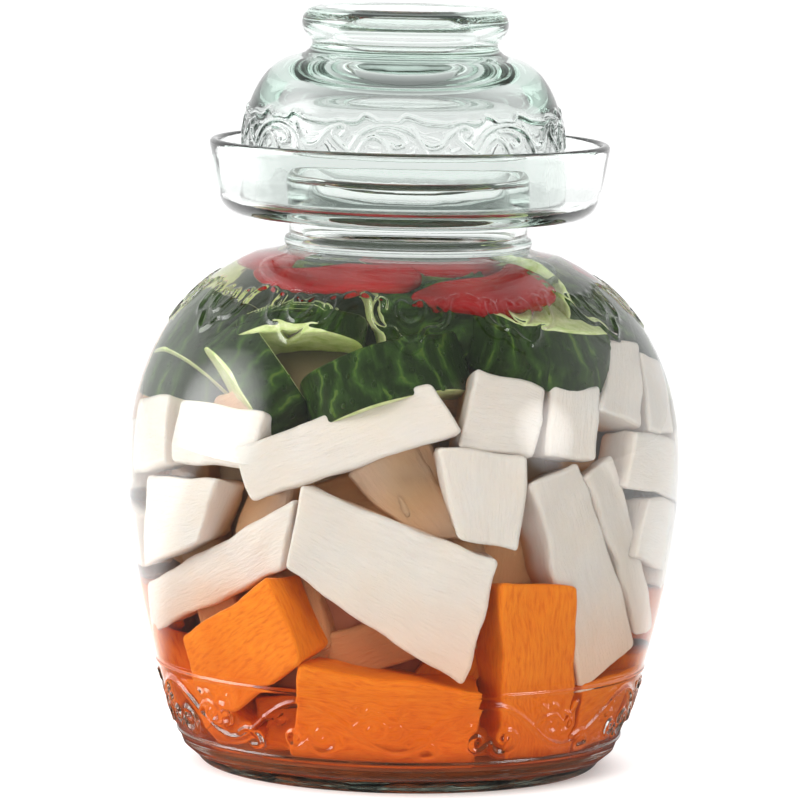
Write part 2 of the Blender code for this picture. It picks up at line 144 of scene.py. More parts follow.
# One tile of each band, as lines through points: mm along the band from the tile's middle, then
# the height in mm. The shoulder's tile has its other half by mirroring.
TILE_STEP = 0.5
SHOULDER_LINES = (
    ((0, 140.6), (3.0, 142.4), (5.4, 145.2), (8.6, 145.4), (11.4, 147.2), (12.8, 150.6),
     (11.6, 153.4), (9.0, 152.8), (8.8, 150.6)),
    ((0, 146.4), (2.8, 147.6), (4.6, 150.4), (3.6, 152.8), (1.4, 152.0)),
    ((12.8, 150.6), (14.4, 153.6), (17.0, 154.6)),
)
LID_LINES = (
    ((-12.2, 196.7), (-11.6, 198.4), (-7.6, 203.6), (0, 205.7), (7.6, 203.6), (11.6, 198.4),
     (12.2, 196.7)),
    ((-11.0, 197.0), (-14.5, 199.3), (-17.6, 202.2), (-17.2, 204.6), (-15.0, 205.4),
     (-13.4, 204.0), (-14.5, 202.5)),
    ((7.6, 205.0), (10.6, 200.3), (13.6, 198.9), (16.9, 199.8), (19.2, 202.7), (22.6, 205.0)),
    ((-9.4, 197.0), (-7.2, 200.6), (-4.4, 202.2), (-1.4, 200.6), (1.0, 197.0)),
    ((-3.0, 203.8), (1.0, 203.7), (4.4, 202.2), (5.2, 200.0), (2.6, 199.0), (1.4, 200.0)),
    ((-20.0, 206.2), (-16.0, 206.9), (-12.5, 206.6), (-9.6, 207.0), (-7.6, 208.7), (-5.0, 208.0),
     (-3.2, 206.9), (0, 207.0), (3.2, 206.9), (5.4, 208.6), (8.4, 208.1), (11.2, 207.1),
     (15.0, 206.6), (20.0, 206.2)),
)
FOOT_LINES = (
    ((1.0, 17.2), (2.6, 14.8), (5.6, 14.0), (9.4, 15.6), (10.2, 18.6), (7.8, 21.0), (4.9, 21.0),
     (3.8, 19.4), (5.0, 18.0), (6.4, 18.6)),
    ((-0.4, 16.4), (-3.0, 15.0), (-5.6, 16.0), (-6.0, 18.4), (-4.2, 19.8), (-2.4, 18.8), (-3.2, 17.4)),
    ((-14.0, 23.4), (-9.8, 24.4), (-7.0, 26.2), (-9.6, 23.4), (-6.4, 23.2), (-9.0, 21.8)),
    ((15.4, 21.6), (18.0, 24.4), (22.0, 25.6), (25.2, 23.6), (25.0, 20.6), (22.0, 19.6),
     (20.4, 21.4), (21.6, 23.0)),
    ((17.4, 28.6), (19.4, 27.2), (21.2, 28.8), (23.4, 27.4)),
    ((27.0, 19.4), (29.6, 20.0), (30.6, 22.2), (29.0, 23.8), (27.4, 22.6)),
    ((27.0, 25.6), (29.4, 25.2), (31.0, 28.6)),
    ((33.0, 17.2), (37.0, 19.0), (40.6, 17.0), (41.0, 14.4), (37.6, 13.7)),
)

# The vegetables' places, near those of the solids: the carrots are up to 2 mm lower. Each row of a
# cut piece is the kind, then where the middle of its outer face is: degrees round the jar, height
# and distance from the axis in mm. Then the face's turn, tilt and spin in degrees, the length, the
# width at each end and the slant of each end's cut, and the thickness inwards.
BATONS = (
    ("daikon", -14.5, 110.4, 73.6, 1.0, 8.6, 20.8, 67.0, 18.0, 17.5, -5, -14, 19),
    ("daikon", -3.3, 70.0, 73.4, 1.2, -7.0, -27.3, 64.2, 26.3, 40.2, -16, -12, 22),
    ("daikon", 23.5, 119.0, 74.2, -1.0, 17.0, -13.6, 24.0, 24.4, 22.1, 4, 2, 20),
    ("daikon", 41.6, 115.7, 75.8, -0.4, 14.3, 73.5, 22.4, 18.8, 19.2, -7, -13, 18),
    ("daikon", 18.1, 94.4, 79.0, -0.7, 1.7, 94.4, 29.0, 18.2, 28.7, 19, 11, 19),
    ("daikon", 46.9, 69.5, 73.3, 2.5, -6.4, 117.6, 72.6, 27.1, 19.8, 0, 13, 19),
    ("daikon", 62.1, 74.7, 73.2, 4.4, -2.5, 124.4, 68.0, 11.3, 14.4, 33, 18, 16),
    ("daikon", 63.2, 125.4, 72.0, 1.1, 22.8, 52.9, 28.4, 20.9, 17.0, -17, -30, 18),
    ("daikon", 78.5, 119.0, 76.0, -1.9, 16.4, 66.0, 24.0, 22.5, 19.3, -14, -5, 16),
    ("daikon", 70.3, 99.8, 78.8, -1.0, -0.4, -10.8, 36.0, 17.7, 17.9, 8, -15, 18),
    ("daikon", 75.0, 78.5, 77.0, 0.0, -4.0, -12.0, 30.0, 20.0, 22.0, 6, -8, 18),
    ("daikon", -46.5, 109.3, 77.4, 0.4, 10.1, 0.3, 34.8, 19.3, 17.8, -1, 10, 18),
    ("daikon", -62.1, 82.3, 75.6, 2.5, -4.3, 11.4, 36.6, 28.6, 18.7, 24, 40, 18),
    ("daikon", -53.4, 66.0, 66.8, 2.6, -11.7, 24.7, 78.0, 14.6, 17.2, 38, 44, 20),
    ("daikon", 2.0, 93.0, 62.0, -0.3, -0.7, 126.4, 30.0, 14.0, 22.4, 40, 12, 18),
    ("daikon", -73.0, 105.7, 78.6, 0.2, 6.4, 12.8, 28.0, 23.2, 21.1, 2, 1, 16),
    ("carrot", -42.9, 42.6, 71.2, 1.3, -15.8, 31.2, 50.5, 28.5, 27.6, 25, 14, 22),
    ("carrot", -3.3, 23.8, 64.0, -0.5, -16.5, -4.8, 56.8, 33.0, 26.0, 1, 0, 22),
    ("carrot", 36.8, 39.0, 69.8, 0.0, -13.6, 101.5, 60.0, 26.5, 27.7, 15, 16, 22),
    ("carrot", -61.3, 22.3, 60.0, 3.7, -18.3, 131.7, 26.0, 19.0, 15.0, 30, 30, 18),
    ("carrot", 64.8, 23.8, 65.8, -1.5, -14.4, 6.6, 26.6, 25.4, 22.2, -9, 19, 18),
)

# Cucumber rounds: the place of the middle, the turn, tilt and spin of the round's own axis, that
# axis's lean out of the face, the radius and the length in mm.
ROUNDS = (
    (-6.4, 123.0, 52.0, 0, 20, 110, 0, 23.5, 17),
    (45.0, 135.0, 53.0, -30, -3, 80, 0, 22.5, 20),
    (-34.6, 138.0, 53.9, 34.6, 28, 82, 0, 20.0, 8),
    (8.6, 138.0, 33.0, 0, 40, 10, 0, 20.0, 34),
    (-45.5, 122.5, 58.0, 10, 20, 50, -16, 20.0, 15),
    (-78.0, 129.0, 54.0, 0, 36, 96, 0, 19.0, 22),
    (74.0, 137.0, 45.0, 0, 40, -35, 0, 18.0, 30),
)

# Chillies lie along arcs: degrees, height and distance from the axis at the stem and at the tip,
# how far the middle bows out, and the radius at the shoulder.
CHILLIES = (
    (4, 155.0, 45.0, -66, 154.0, 50.0, 4, 5.2),
    (52, 152.5, 52.0, 1, 150.5, 54.0, 2, 6.8),
    (50, 155.5, 33.0, -30, 156.0, 30.0, 8, 5.6),
    (-60, 153.0, 36.0, -150, 149.0, 46.0, 5, 5.8),
    (150, 150.0, 44.0, 84, 147.0, 50.0, 4, 6.0),
)

# A second layer of batons, only here, which shows in the gaps: the kind, degrees round the jar,
# height, distance from the axis, spin, length and width. Each has a like one at the back.
INNER_BATONS = (
    ("daikon", 6, 92, 61, 118, 46, 17),
    ("daikon", -20, 88, 56, 20, 44, 18),
    ("daikon", -38, 92, 62, 75, 34, 18),
    ("daikon", 30, 70, 58, 80, 50, 19),
    ("daikon", -8, 47, 52, 25, 42, 18),
    ("daikon", -32, 62, 56, 100, 40, 17),
    ("carrot", 14, 36, 50, 60, 40, 18),
    ("carrot", -26, 24, 48, 10, 40, 18),
    ("carrot", 40, 22, 46, 0, 44, 18),
    ("daikon", 54, 100, 60, 95, 40, 18),
    ("daikon", -60, 60, 60, 110, 44, 18),
    ("daikon", -72, 86, 60, 85, 40, 19),
    ("daikon", 74, 62, 53, 70, 40, 17),
    ("carrot", -66, 40, 54, 40, 40, 18),
    ("carrot", 70, 42, 54, 120, 40, 18),
    ("daikon", -58, 108, 58, 20, 40, 18),
    ("daikon", 12, 112, 54, 0, 40, 18),
    ("daikon", 84, 112, 58, 80, 36, 18),
)
INNER_THICKNESS = 17

# The columns of pieces at the two sides: the kind, height, distance, tilt, length and width
SIDE_COLUMNS = (94.0, -94.0)
SIDE_ROWS = (
    ("carrot", 30.0, 68.5, -13.0, 34.0, 27.0),
    ("carrot", 51.0, 74.0, -9.0, 22.0, 19.0),
    ("daikon", 73.0, 77.0, -4.0, 38.0, 20.0),
    ("daikon", 95.0, 78.0, 0.0, 34.0, 21.0),
)
SIDE_THICKNESS = 18

# The back repeats the pieces within so many degrees of the front, each turned by up to the jitter.
FRONT_REACH, BACK_JITTER = 72, 7.0
# A piece is narrower behind, and stays clear of the glass and under the heap's top.
WEDGE, CLEAR = 0.78, 0.0006
HEAP_TOP = round(HEAP_BOX[1][2], 4)

# A baton's grid and its coarse and fine unevenness, and one unit of the pieces' UV map
BATON_STEP, WOBBLE_SIZE, FINE_SIZE, FINE_SHARE = 0.0032, 0.011, 0.0032, 0.35
UV_SIZE = 0.04
# A cucumber: its rounded rim, its ribs, the dent in its cut faces and the bumps on its skin
RIM, RIB, RIB_NOISE, DENT = 0.0009, 0.012, 0.010, 0.0006
BUMP_SPACING, BUMP_SIZE = 0.0032, 0.0009
FACE_SHARES = (0.93, 0.84, 0.72, 0.6, 0.48, 0.36, 0.24, 0.12, 0.0001)
# A chilli: its creases, its cap as steps out from the pod and shares of its width, and its stem
CREASE = 0.03
CAP = ((-0.003, 1.02), (-0.001, 1.04), (0.0012, 0.8), (0.0022, 0.35))
STEM_STEP, STEM_RISE, STEM_RADIUS, STEM_GROWTH, STEM_END = 0.0022, 0.00005, 0.0011, 0.0001, 0.0002
# Radius of the small ring that closes a tube's end once its points are merged
POLE = 0.00001

# Between which heights the daikon takes painted orange bounce light from the carrots and the carrots take
# painted shade, towards the jar's foot, and between which distances from the axis a daikon lies in the
# painted shade of others
STAIN_HEIGHTS, CARROT_HEIGHTS, CARROT_FOOT = (0.075, 0.028), (0.050, 0.012), (0.0165, 0.0085)
SHADE_DISTANCES = (0.069, 0.060)

# The heap's middle: its height, how far in from the wall it is, how it widens at its foot, and
# its bulges
CORE_LIFT, CORE_CAP = 0.0003, 0.001
CORE_RISE, CORE_INSET, CORE_FOOT, CORE_FOOT_HEIGHT = 0.150, 0.028, 0.016, 0.008
CORE_BULGE, CORE_BULGE_SIZE, CORE_SIDES = 0.0022, 0.009, 72

# Studio. The soft lamps that the glass mirrors are given as degrees from the front to the right,
# degrees up, the reach of the full light and of its fading edge in degrees, and how bright.
SOFT_PATCHES = ((-88, 12, 2, 28, 6.8), (-104, 16, 6, 42, 0.9), (63, 14, 1, 16, 7.0), (100, 16, 6, 40, 0.6))
# Each lamp: where it is, where it looks, its width and height, and its power
LAMPS = (
    ("left softbox", (-0.95, -0.05, 0.35), (0, 0, 0.08), (0.80, 0.90), 6.8),
    ("key light", (-0.70, -1.00, 1.00), (0, 0, 0.10), (0.50, 0.50), 9.6),
    ("fill light", (0.80, -1.20, 0.35), (0, 0, 0.10), (0.80, 0.80), 6.6),
)
# The floor's half width, its height just under the jar, and where it is left dark under the foot
FLOOR_HALF, FLOOR_GAP, FLOOR_SHADE = 20, -0.0004, (0.055, 0.078)
CAMERA_TARGET, FARTHEST = (-0.0016, 0, 0.1156), 60
# How much less the white surroundings and floor light matt surfaces than they show
DIFFUSE_LOSS = -0.55


def body_radius(z):
    """Outer radius of the jar's body at a height."""
    if z >= WIDEST_HEIGHT:
        t = min((z - WIDEST_HEIGHT) / SHOULDER_RISE, 1.0)
        return BODY_RADIUS - SHOULDER_WIDTH * (1 - math.sqrt(1 - t**SHOULDER_POWER))
    return BODY_RADIUS - BELOW_DROP * ((WIDEST_HEIGHT - z) / WIDEST_HEIGHT) ** BELOW_POWER


def arc(centre, radius, start, end, count):
    """Points (r, z) along a circle's arc, the angles in degrees from straight out."""
    turns = [math.radians(start + (end - start) * i / (count - 1)) for i in range(count)]
    return [(centre[0] + radius * math.cos(a), centre[1] + radius * math.sin(a)) for a in turns]


def moved_in(z, offset):
    """The body's outline at a height, moved inwards by an offset."""
    slope = (body_radius(z + 1e-5) - body_radius(z - 1e-5)) / 2e-5
    scale = offset / math.hypot(1, slope)
    return body_radius(z) - scale, z + scale * slope


def spaced(points, step):
    """A smooth outline cut into even steps along its length."""
    line = np.array(points)
    length = np.concatenate([[0], np.cumsum(np.linalg.norm(np.diff(line, axis=0), axis=1))])
    count = max(2, round(length[-1] / step) + 1)
    at = np.linspace(0, length[-1], count)
    return [(float(np.interp(s, length, line[:, 0])), float(np.interp(s, length, line[:, 1]))) for s in at]


def body_rows(low, high, step, offset=0.0):
    """Rows of the body's outline between two heights, evenly spaced along the surface."""
    heights = [low + (high - low) * i / 400 for i in range(401)]
    return spaced([moved_in(z, offset) for z in heights], step)


def raised_line(height):
    """A rounded line that runs round the body."""
    rows = []
    for i in range(9):
        across = -1 + i / 4
        z = height + across * LINE_HALF
        rise = LINE_RELIEF * (0.5 + 0.5 * math.cos(math.pi * across))
        rows.append((body_radius(z) + rise, z))
    return rows


def jar_outline():
    """The jar's section, as stretches of points with a mark where the scroll bands run."""
    low_line, high_line = LINE_HEIGHTS
    reach = FOOT_RADIUS * FOOT_RING
    under = [(reach * i / 20, PUSH_UP * (1 - (i / 20) ** 3)) for i in range(21)]
    foot = arc((FOOT_RADIUS, FOOT_ROUNDING), FOOT_ROUNDING, -90, -25, 8)
    foot += body_rows(FOOT_ROUNDING * 1.4, low_line - LINE_HALF - LINE_GAP, FOOT_STEP)
    foot_band = raised_line(low_line) + body_rows(*FOOT_BAND, BAND_STEP) + raised_line(high_line)
    above = body_rows(high_line + LINE_HALF + BAND_GAP, SHOULDER_BAND[0] - BAND_GAP, BODY_STEP)
    shoulder_band = body_rows(*SHOULDER_BAND, BAND_STEP)
    top = body_rows(SHOULDER_BAND[1] + BAND_GAP, SHOULDER_TOP, TOP_STEP)
    neck = [(NECK_RADIUS + out, z) for out, z in NECK_FOOT]
    neck += arc((BEAD_RADIUS - BEAD_HALF, BEAD_HEIGHT), BEAD_HALF, -70, 70, 9)
    neck += [(NECK_RADIUS, z) for z in NECK_HEIGHTS]
    neck += arc((NECK_RADIUS + NECK_ROUNDING, DISH_BOTTOM - NECK_ROUNDING), NECK_ROUNDING, 180, 90, 5)
    dish = [(DISH_FOOT_RADIUS - DISH_CORNER - DISH_UNDERSIDE, DISH_BOTTOM)]
    dish += arc((DISH_FOOT_RADIUS - DISH_CORNER, DISH_BOTTOM + DISH_CORNER), DISH_CORNER, -90, 0, 12)
    start, rise = dish[-1][1], DISH_RIM_HEIGHT - DISH_FLARE_END - dish[-1][1]
    for i in range(1, 8):
        share = i / 7
        flare = (DISH_RIM_RADIUS - DISH_FOOT_RADIUS) * share**DISH_FLARE_POWER
        dish.append((DISH_FOOT_RADIUS + flare, start + rise * share))
    rim = (DISH_RIM_RADIUS - DISH_RIM_ROUNDING, DISH_RIM_HEIGHT - DISH_RIM_ROUNDING)
    dish += arc(rim, DISH_RIM_ROUNDING, 30, 170, 8)
    corner = (DISH_FOOT_RADIUS - DISH_WALL - MOAT_CORNER, MOAT_FLOOR + MOAT_CORNER)
    wall_top = (DISH_RIM_RADIUS - DISH_WALL, DISH_RIM_HEIGHT - DISH_WALL_END)
    moat = spaced([wall_top, (corner[0] + MOAT_CORNER, corner[1])], DISH_STEP)
    moat += arc(corner, MOAT_CORNER, -10, -90, 7)
    mouth_foot = (MOUTH_RADIUS + MOUTH_FOOT_ROUNDING, MOAT_FLOOR + MOUTH_FOOT_ROUNDING)
    moat += arc(mouth_foot, MOUTH_FOOT_ROUNDING, 270, 180, 5)
    lip = (MOUTH_RADIUS - LIP_ROUNDING, MOUTH_HEIGHT - LIP_ROUNDING)
    bore = arc(lip, LIP_ROUNDING, 0, 180, 12) + [(BORE_RADIUS, z) for z in BORE_HEIGHTS]
    bore += arc((BORE_RADIUS + BORE_FLARE, BORE_FOOT), BORE_FLARE, 180, 240, 5)
    inner = body_rows(FLOOR + FLOOR_ROUNDING, SHOULDER_TOP - INNER_GAP, INNER_STEP, WALL)[::-1]
    reach = inner[-1][0] - FLOOR_ROUNDING
    base = arc((reach, FLOOR + FLOOR_ROUNDING), FLOOR_ROUNDING, -12, -90, 8)
    base += [(reach * (20 - i) / 20, FLOOR) for i in range(1, 21)]
    return (
        (under + foot, False),
        (foot_band, True),
        (above, False),
        (shoulder_band, True),
        (top + neck + dish + moat + bore + inner + base, False),
    )


def lid_outline():
    """The lid's section from the crown's underside out and up to the recess."""
    reach, inner_start = LID_RADIUS - LID_WALL, DOME_START - INNER_DROP
    crown = [(0, CROWN_HEIGHT), (CROWN_RADIUS * 0.5, CROWN_HEIGHT), (CROWN_RADIUS, CROWN_HEIGHT)]
    inner = []
    for i in range(1, 17):
        share = math.sin(math.pi / 2 * i / 16)
        fall = (CROWN_HEIGHT - inner_start) * math.sqrt(max(1 - share**INNER_POWER, 0.0))
        inner.append((CROWN_RADIUS + (reach - CROWN_RADIUS) * share, inner_start + fall))
    foot = [(reach, z) for z in LID_WALL_HEIGHTS]
    edge = LID_FOOT + LID_EDGE_ROUNDING
    foot += arc((reach + LID_EDGE_ROUNDING, edge), LID_EDGE_ROUNDING, 180, 270, 6)
    foot += arc((LID_RADIUS - LID_EDGE_ROUNDING, edge), LID_EDGE_ROUNDING, 270, 350, 6)
    foot += [(LID_RADIUS, LID_FOOT + rise) for rise in LID_WALL_RISES]
    dome = []
    for i in range(321):
        t = math.sin(math.pi / 2 * i / 320 * DOME_SHARE)
        dome.append((LID_RADIUS - DOME_WIDTH * (1 - math.sqrt(1 - t * t)), DOME_START + DOME_RISE * t))
    band = spaced([p for p in dome if p[1] <= LID_BAND[1]], LID_BAND_STEP)
    upper = spaced([p for p in dome if p[1] > LID_BAND[1]], DOME_STEP)
    waist = [(WAIST_RADIUS + out, WAIST_HEIGHT + up) for out, up in WAIST_CURVE]
    ring = arc((RING_CENTRE, TOP - RING_TUBE), RING_TUBE, -48, 126, 28)
    recess = [(RECESS_RADIUS, TOP - RECESS_EDGE), (RECESS_RADIUS - RECESS_LEDGE_WIDTH, RECESS_LEDGE)]
    corner = (RECESS_FLOOR_RADIUS - RECESS_ROUNDING, RECESS_FLOOR + RECESS_ROUNDING)
    recess += arc(corner, RECESS_ROUNDING, -10, -90, 6)
    recess += [(RECESS_FLOOR_RADIUS * 0.5, RECESS_FLOOR), (0, RECESS_FLOOR)]
    return ((crown + inner + foot, False), (band, True), (upper + waist + ring + recess, False))


def brine_outline(level):
    """The brine's section, from the middle of its foot up to its surface, just past the wall."""
    low = FLOOR - OVERLAP
    wall = body_rows(FLOOR + FLOOR_ROUNDING, BRINE_WALL_TOP, BRINE_STEP, WALL - OVERLAP)
    wall = [p for p in wall if p[1] < level - BRINE_EDGE]
    edge, reach = wall[0][0], wall[-1][0]
    base = arc((edge - FLOOR_ROUNDING, low + FLOOR_ROUNDING), FLOOR_ROUNDING, -90, -6, 9)
    surface = [(reach - inwards, level - down) for inwards, down in MENISCUS]
    surface += [(reach * 0.5, level - BRINE_DIP), (0, level - BRINE_DIP)]
    return [(0, low), (edge * 0.5, low)] + base + wall + surface


def core_outline():
    """The section of the heap's shaded middle, which widens at its foot."""
    heights = [FLOOR + CLEAR + CORE_LIFT + (CORE_RISE - FLOOR) * i / 24 for i in range(25)]
    outline = [(0, heights[0])]
    for z in heights:
        foot = CORE_FOOT * max(0.0, 1 - (z - FLOOR) / CORE_FOOT_HEIGHT)
        outline.append((cavity_radius(z) - CORE_INSET + foot, z))
    return outline + [(0, heights[-1] + CORE_CAP)]


def turned(name, stretches, plain_sides, band_sides, shift=0.0):
    """A closed glass shape of revolution, finer where a scroll band runs."""
    points, faces, rings = [], [], []
    for outline, fine in stretches:
        sides = band_sides if fine else plain_sides
        for r, z in outline:
            count = 1 if r == 0 else sides
            rings.append((len(points), count))
            for i in range(count):
                a = 2 * math.pi * i / count
                points.append((shift + r * math.cos(a), r * math.sin(a), z))
    for (low, below), (high, above) in zip(rings, rings[1:]):
        for i in range(max(min(below, above), 1 if min(below, above) > 1 else max(below, above))):
            lows = ring_part(low, below, i, above)
            highs = ring_part(high, above, i, below)
            faces.append((*lows, *highs[::-1]))
    return mesh_object(name, points, faces)


def ring_part(start, count, i, other):
    """The corners that one face takes from a ring of so many points, against the ring beside it."""
    if count == 1:
        return [start]
    ratio = count // other if 1 < other < count else 1
    return [start + (i * ratio + k) % count for k in range(ratio + 1)]


def linked(name, data):
    """An object in the scene with its data."""
    thing = bpy.data.objects.new(name, data)
    bpy.context.scene.collection.objects.link(thing)
    return thing


def faced_outward(mesh, merge=0.0):
    """Merges a mesh's doubled points, if asked, turns its faces outward and smooths them."""
    shape = bmesh.new()
    shape.from_mesh(mesh)
    if merge:
        bmesh.ops.remove_doubles(shape, verts=shape.verts, dist=merge)
    bmesh.ops.recalc_face_normals(shape, faces=shape.faces)
    shape.to_mesh(mesh)
    shape.free()
    mesh.shade_smooth()


def mesh_object(name, points, faces):
    """A smooth mesh object at the origin with outward faces."""
    mesh = bpy.data.meshes.new(name)
    mesh.from_pydata(points, [], faces)
    faced_outward(mesh)
    return linked(name, mesh)


def curve_through(points, step):
    """A smooth line through some points, with points about a step apart."""
    line = [np.array(p, float) for p in (points[0], *points, points[-1])]
    out = []
    for k in range(len(points) - 1):
        a, b, c, d = line[k:k + 4]
        pull, bend = 2 * a - 5 * b + 4 * c - d, 3 * b - a - 3 * c + d
        count = max(2, math.ceil(float(np.linalg.norm(c - b)) / step))
        for i in range(count + (k == len(points) - 2)):
            t = i / count
            out.append(0.5 * (2 * b + (c - a) * t + pull * t**2 + bend * t**3))
    return [(float(x), float(y)) for x, y in out]


def tile_lines(band):
    """The lines of one tile of a band, as smooth lines in mm."""
    vine = []
    if band == "shoulder":
        lines = [[(side * x, z) for x, z in line] for side in (-1, 1) for line in SHOULDER_LINES]
    elif band == "lid":
        lines = LID_LINES
    else:
        lines = FOOT_LINES
        width = 2 * math.pi * body_radius(VINE_MIDDLE * MM) / FOOT_REPEATS / MM
        steps = [width * i / 96 for i in range(97)]
        vine = [[(x, VINE_MIDDLE + VINE_SWING * math.cos(2 * math.pi * x / width)) for x in steps]]
    return vine + [curve_through(line, TILE_STEP) for line in lines]


def strokes(band, middle, azimuth, radius_at):
    """One tile of a band, laid on the wall as a mesh of edges that Geometry Nodes repeats."""
    points, edges = [], []
    around = radius_at(middle)
    for line in tile_lines(band):
        edges += [(len(points) + i, len(points) + i + 1) for i in range(len(line) - 1)]
        for x, z in line:
            angle = math.radians(azimuth) + x * MM / around
            r = radius_at(z * MM)
            points.append((r * math.sin(angle), -r * math.cos(angle), z * MM))
    mesh = bpy.data.meshes.new(band + "_strokes")
    mesh.from_pydata(points, edges, [])
    return linked(mesh.name, mesh)


def split_near(thing, lines, repeats, band, radius_at, shift=0.0):
    """Splits the grid of a band again near its lines, and puts the new points on the wall."""
    low, high = band
    tree = KDTree(len(lines.data.vertices) * repeats)
    for k in range(repeats):
        turn = Matrix.Rotation(2 * math.pi * k / repeats, 3, "Z")
        for i, vertex in enumerate(lines.data.vertices):
            tree.insert(turn @ vertex.co + Vector((shift, 0, 0)), k * len(lines.data.vertices) + i)
    tree.balance()
    shape = bmesh.new()
    shape.from_mesh(thing.data)
    for reach in SPLIT_REACH:
        near = set()
        for face in shape.faces:
            middle = face.calc_center_median()
            if low < middle.z < high and tree.find(middle)[2] < reach and face.normal.dot(middle) > 0:
                near.update(face.edges)
        bmesh.ops.subdivide_edges(shape, edges=list(near), cuts=1, use_grid_fill=True)
    for vertex in shape.verts:
        across = Vector((vertex.co.x - shift, vertex.co.y))
        if low < vertex.co.z < high:
            true = radius_at(vertex.co.z)
            if abs(across.length - true) < ON_WALL:
                across *= true / across.length
                vertex.co.x, vertex.co.y = across.x + shift, across.y
    bmesh.ops.recalc_face_normals(shape, faces=shape.faces)
    shape.to_mesh(thing.data)
    shape.free()
    thing.data.shade_smooth()


def node(tree, kind, inputs=None, **settings):
    """A new node with its settings, and its inputs as linked sockets or plain values."""
    made = tree.nodes.new(kind)
    for name, value in settings.items():
        setattr(made, name, value)
    for name, value in (inputs or {}).items():
        if hasattr(value, "links"):
            tree.links.new(value, made.inputs[name])
        else:
            made.inputs[name].default_value = value
    return made


def joined(tree, operation, *values):
    """Numbers put together by a kind of sum."""
    return node(tree, "ShaderNodeMath", dict(enumerate(values)), operation=operation).outputs[0]


def geometry_tree(name, inputs):
    """An empty Geometry Nodes tree with its own geometry, some inputs and a material to give."""
    tree = bpy.data.node_groups.new(name, "GeometryNodeTree")
    for label, kind in (("Geometry", "Geometry"), *inputs, ("Material", "Material")):
        tree.interface.new_socket(label, in_out="INPUT", socket_type="NodeSocket" + kind)
    tree.interface.new_socket("Geometry", in_out="OUTPUT", socket_type="NodeSocketGeometry")
    return tree, node(tree, "NodeGroupInput").outputs


def relief_tree():
    """Raises the glass along strokes that repeat round an upright axis."""
    numbers = (("Repeats", "Int"), ("Relief", "Float"), ("Half width", "Float"), ("Shift", "Float"))
    tree, given = geometry_tree("scroll relief", (("Strokes", "Object"), *numbers))
    lines = node(tree, "GeometryNodeObjectInfo", {"Object": given["Strokes"]})
    seats = node(tree, "GeometryNodeMeshLine", {"Count": given["Repeats"], "Offset": (0, 0, 0)})
    step = joined(tree, "DIVIDE", 2 * math.pi, given["Repeats"])
    turn = joined(tree, "MULTIPLY", node(tree, "GeometryNodeInputIndex").outputs[0], step)
    angles = node(tree, "ShaderNodeCombineXYZ", {"Z": turn})
    copies = node(tree, "GeometryNodeInstanceOnPoints", {
        "Points": seats.outputs[0], "Instance": lines.outputs["Geometry"], "Rotation": angles.outputs[0]})
    whole = node(tree, "GeometryNodeRealizeInstances", {0: copies.outputs[0]})
    offset = node(tree, "ShaderNodeCombineXYZ", {"X": given["Shift"]})
    moved = {"Geometry": whole.outputs[0], "Offset": offset.outputs[0]}
    slide = node(tree, "GeometryNodeSetPosition", moved)
    near = node(tree, "GeometryNodeProximity", {0: slide.outputs[0]}, target_element="EDGES")
    limits = {"Value": near.outputs["Distance"], "From Max": given["Half width"]}
    limits.update({"To Min": given["Relief"], "To Max": 0.0})
    rise = node(tree, "ShaderNodeMapRange", limits, interpolation_type="SMOOTHSTEP")
    normal = node(tree, "GeometryNodeInputNormal")
    values = {0: normal.outputs[0], "Scale": rise.outputs[0]}
    push = node(tree, "ShaderNodeVectorMath", values, operation="SCALE")
    moved = {"Geometry": given["Geometry"], "Offset": push.outputs[0]}
    raised = node(tree, "GeometryNodeSetPosition", moved)
    done = node(tree, "GeometryNodeRealizeInstances", {0: raised.outputs[0]})
    coat = {"Geometry": done.outputs[0], "Material": given["Material"]}
    paint = node(tree, "GeometryNodeSetMaterial", coat)
    node(tree, "NodeGroupOutput", {0: paint.outputs[0]})
    return tree


def through_nodes(thing, tree, values):
    """Runs a Geometry Nodes tree on an object and keeps the result as its plain mesh."""
    modifier = thing.modifiers.new(tree.name, "NODES")
    modifier.node_group = tree
    for item in tree.interface.items_tree:
        if item.item_type == "SOCKET" and item.in_out == "INPUT" and item.name in values:
            modifier[item.identifier] = values[item.name]
    bpy.context.view_layer.update()
    graph = bpy.context.evaluated_depsgraph_get()
    made = bpy.data.meshes.new_from_object(thing.evaluated_get(graph), depsgraph=graph)
    thing.modifiers.remove(modifier)
    old, thing.data = thing.data, made
    bpy.data.meshes.remove(old)
    made.name = thing.name


def face_frame(azimuth, height, distance, yaw, pitch, spin):
    """A place inside the jar and the three directions there: along, across and outwards."""
    around = math.radians(azimuth)
    place = Vector((math.sin(around), -math.cos(around), 0)) * distance * MM
    place.z = height * MM
    turn = Matrix.Rotation(math.radians(azimuth + yaw), 3, "Z")
    turn = turn @ Matrix.Rotation(math.radians(-pitch), 3, "X")
    outward, sideways, upward = (turn @ Vector(v) for v in ((0, -1, 0), (1, 0, 0), (0, 0, 1)))
    angle = math.radians(spin)
    along = sideways * math.cos(angle) + upward * math.sin(angle)
    return place, along, outward.cross(along), outward


def cavity_radius(z):
    """Inner radius of the body at a height, less a little clearance."""
    z = min(max(z, FLOOR), SHOULDER_TOP)
    slope = (body_radius(z + 1e-5) - body_radius(z - 1e-5)) / 2e-5
    radius = body_radius(z) - (WALL + CLEAR) * math.hypot(1, slope)
    lift = max(FLOOR + FLOOR_ROUNDING - z, 0.0)
    return radius - FLOOR_ROUNDING + math.sqrt(max(FLOOR_ROUNDING**2 - lift**2, 0.0))


def kept_inside(point):
    """The point drawn in where it would reach into the glass."""
    point.z = min(max(point.z, FLOOR + CLEAR), HEAP_TOP)
    distance = math.hypot(point.x, point.y)
    share = min(1.0, cavity_radius(point.z) / max(distance, 1e-6))
    return Vector((point.x * share, point.y * share, point.z))


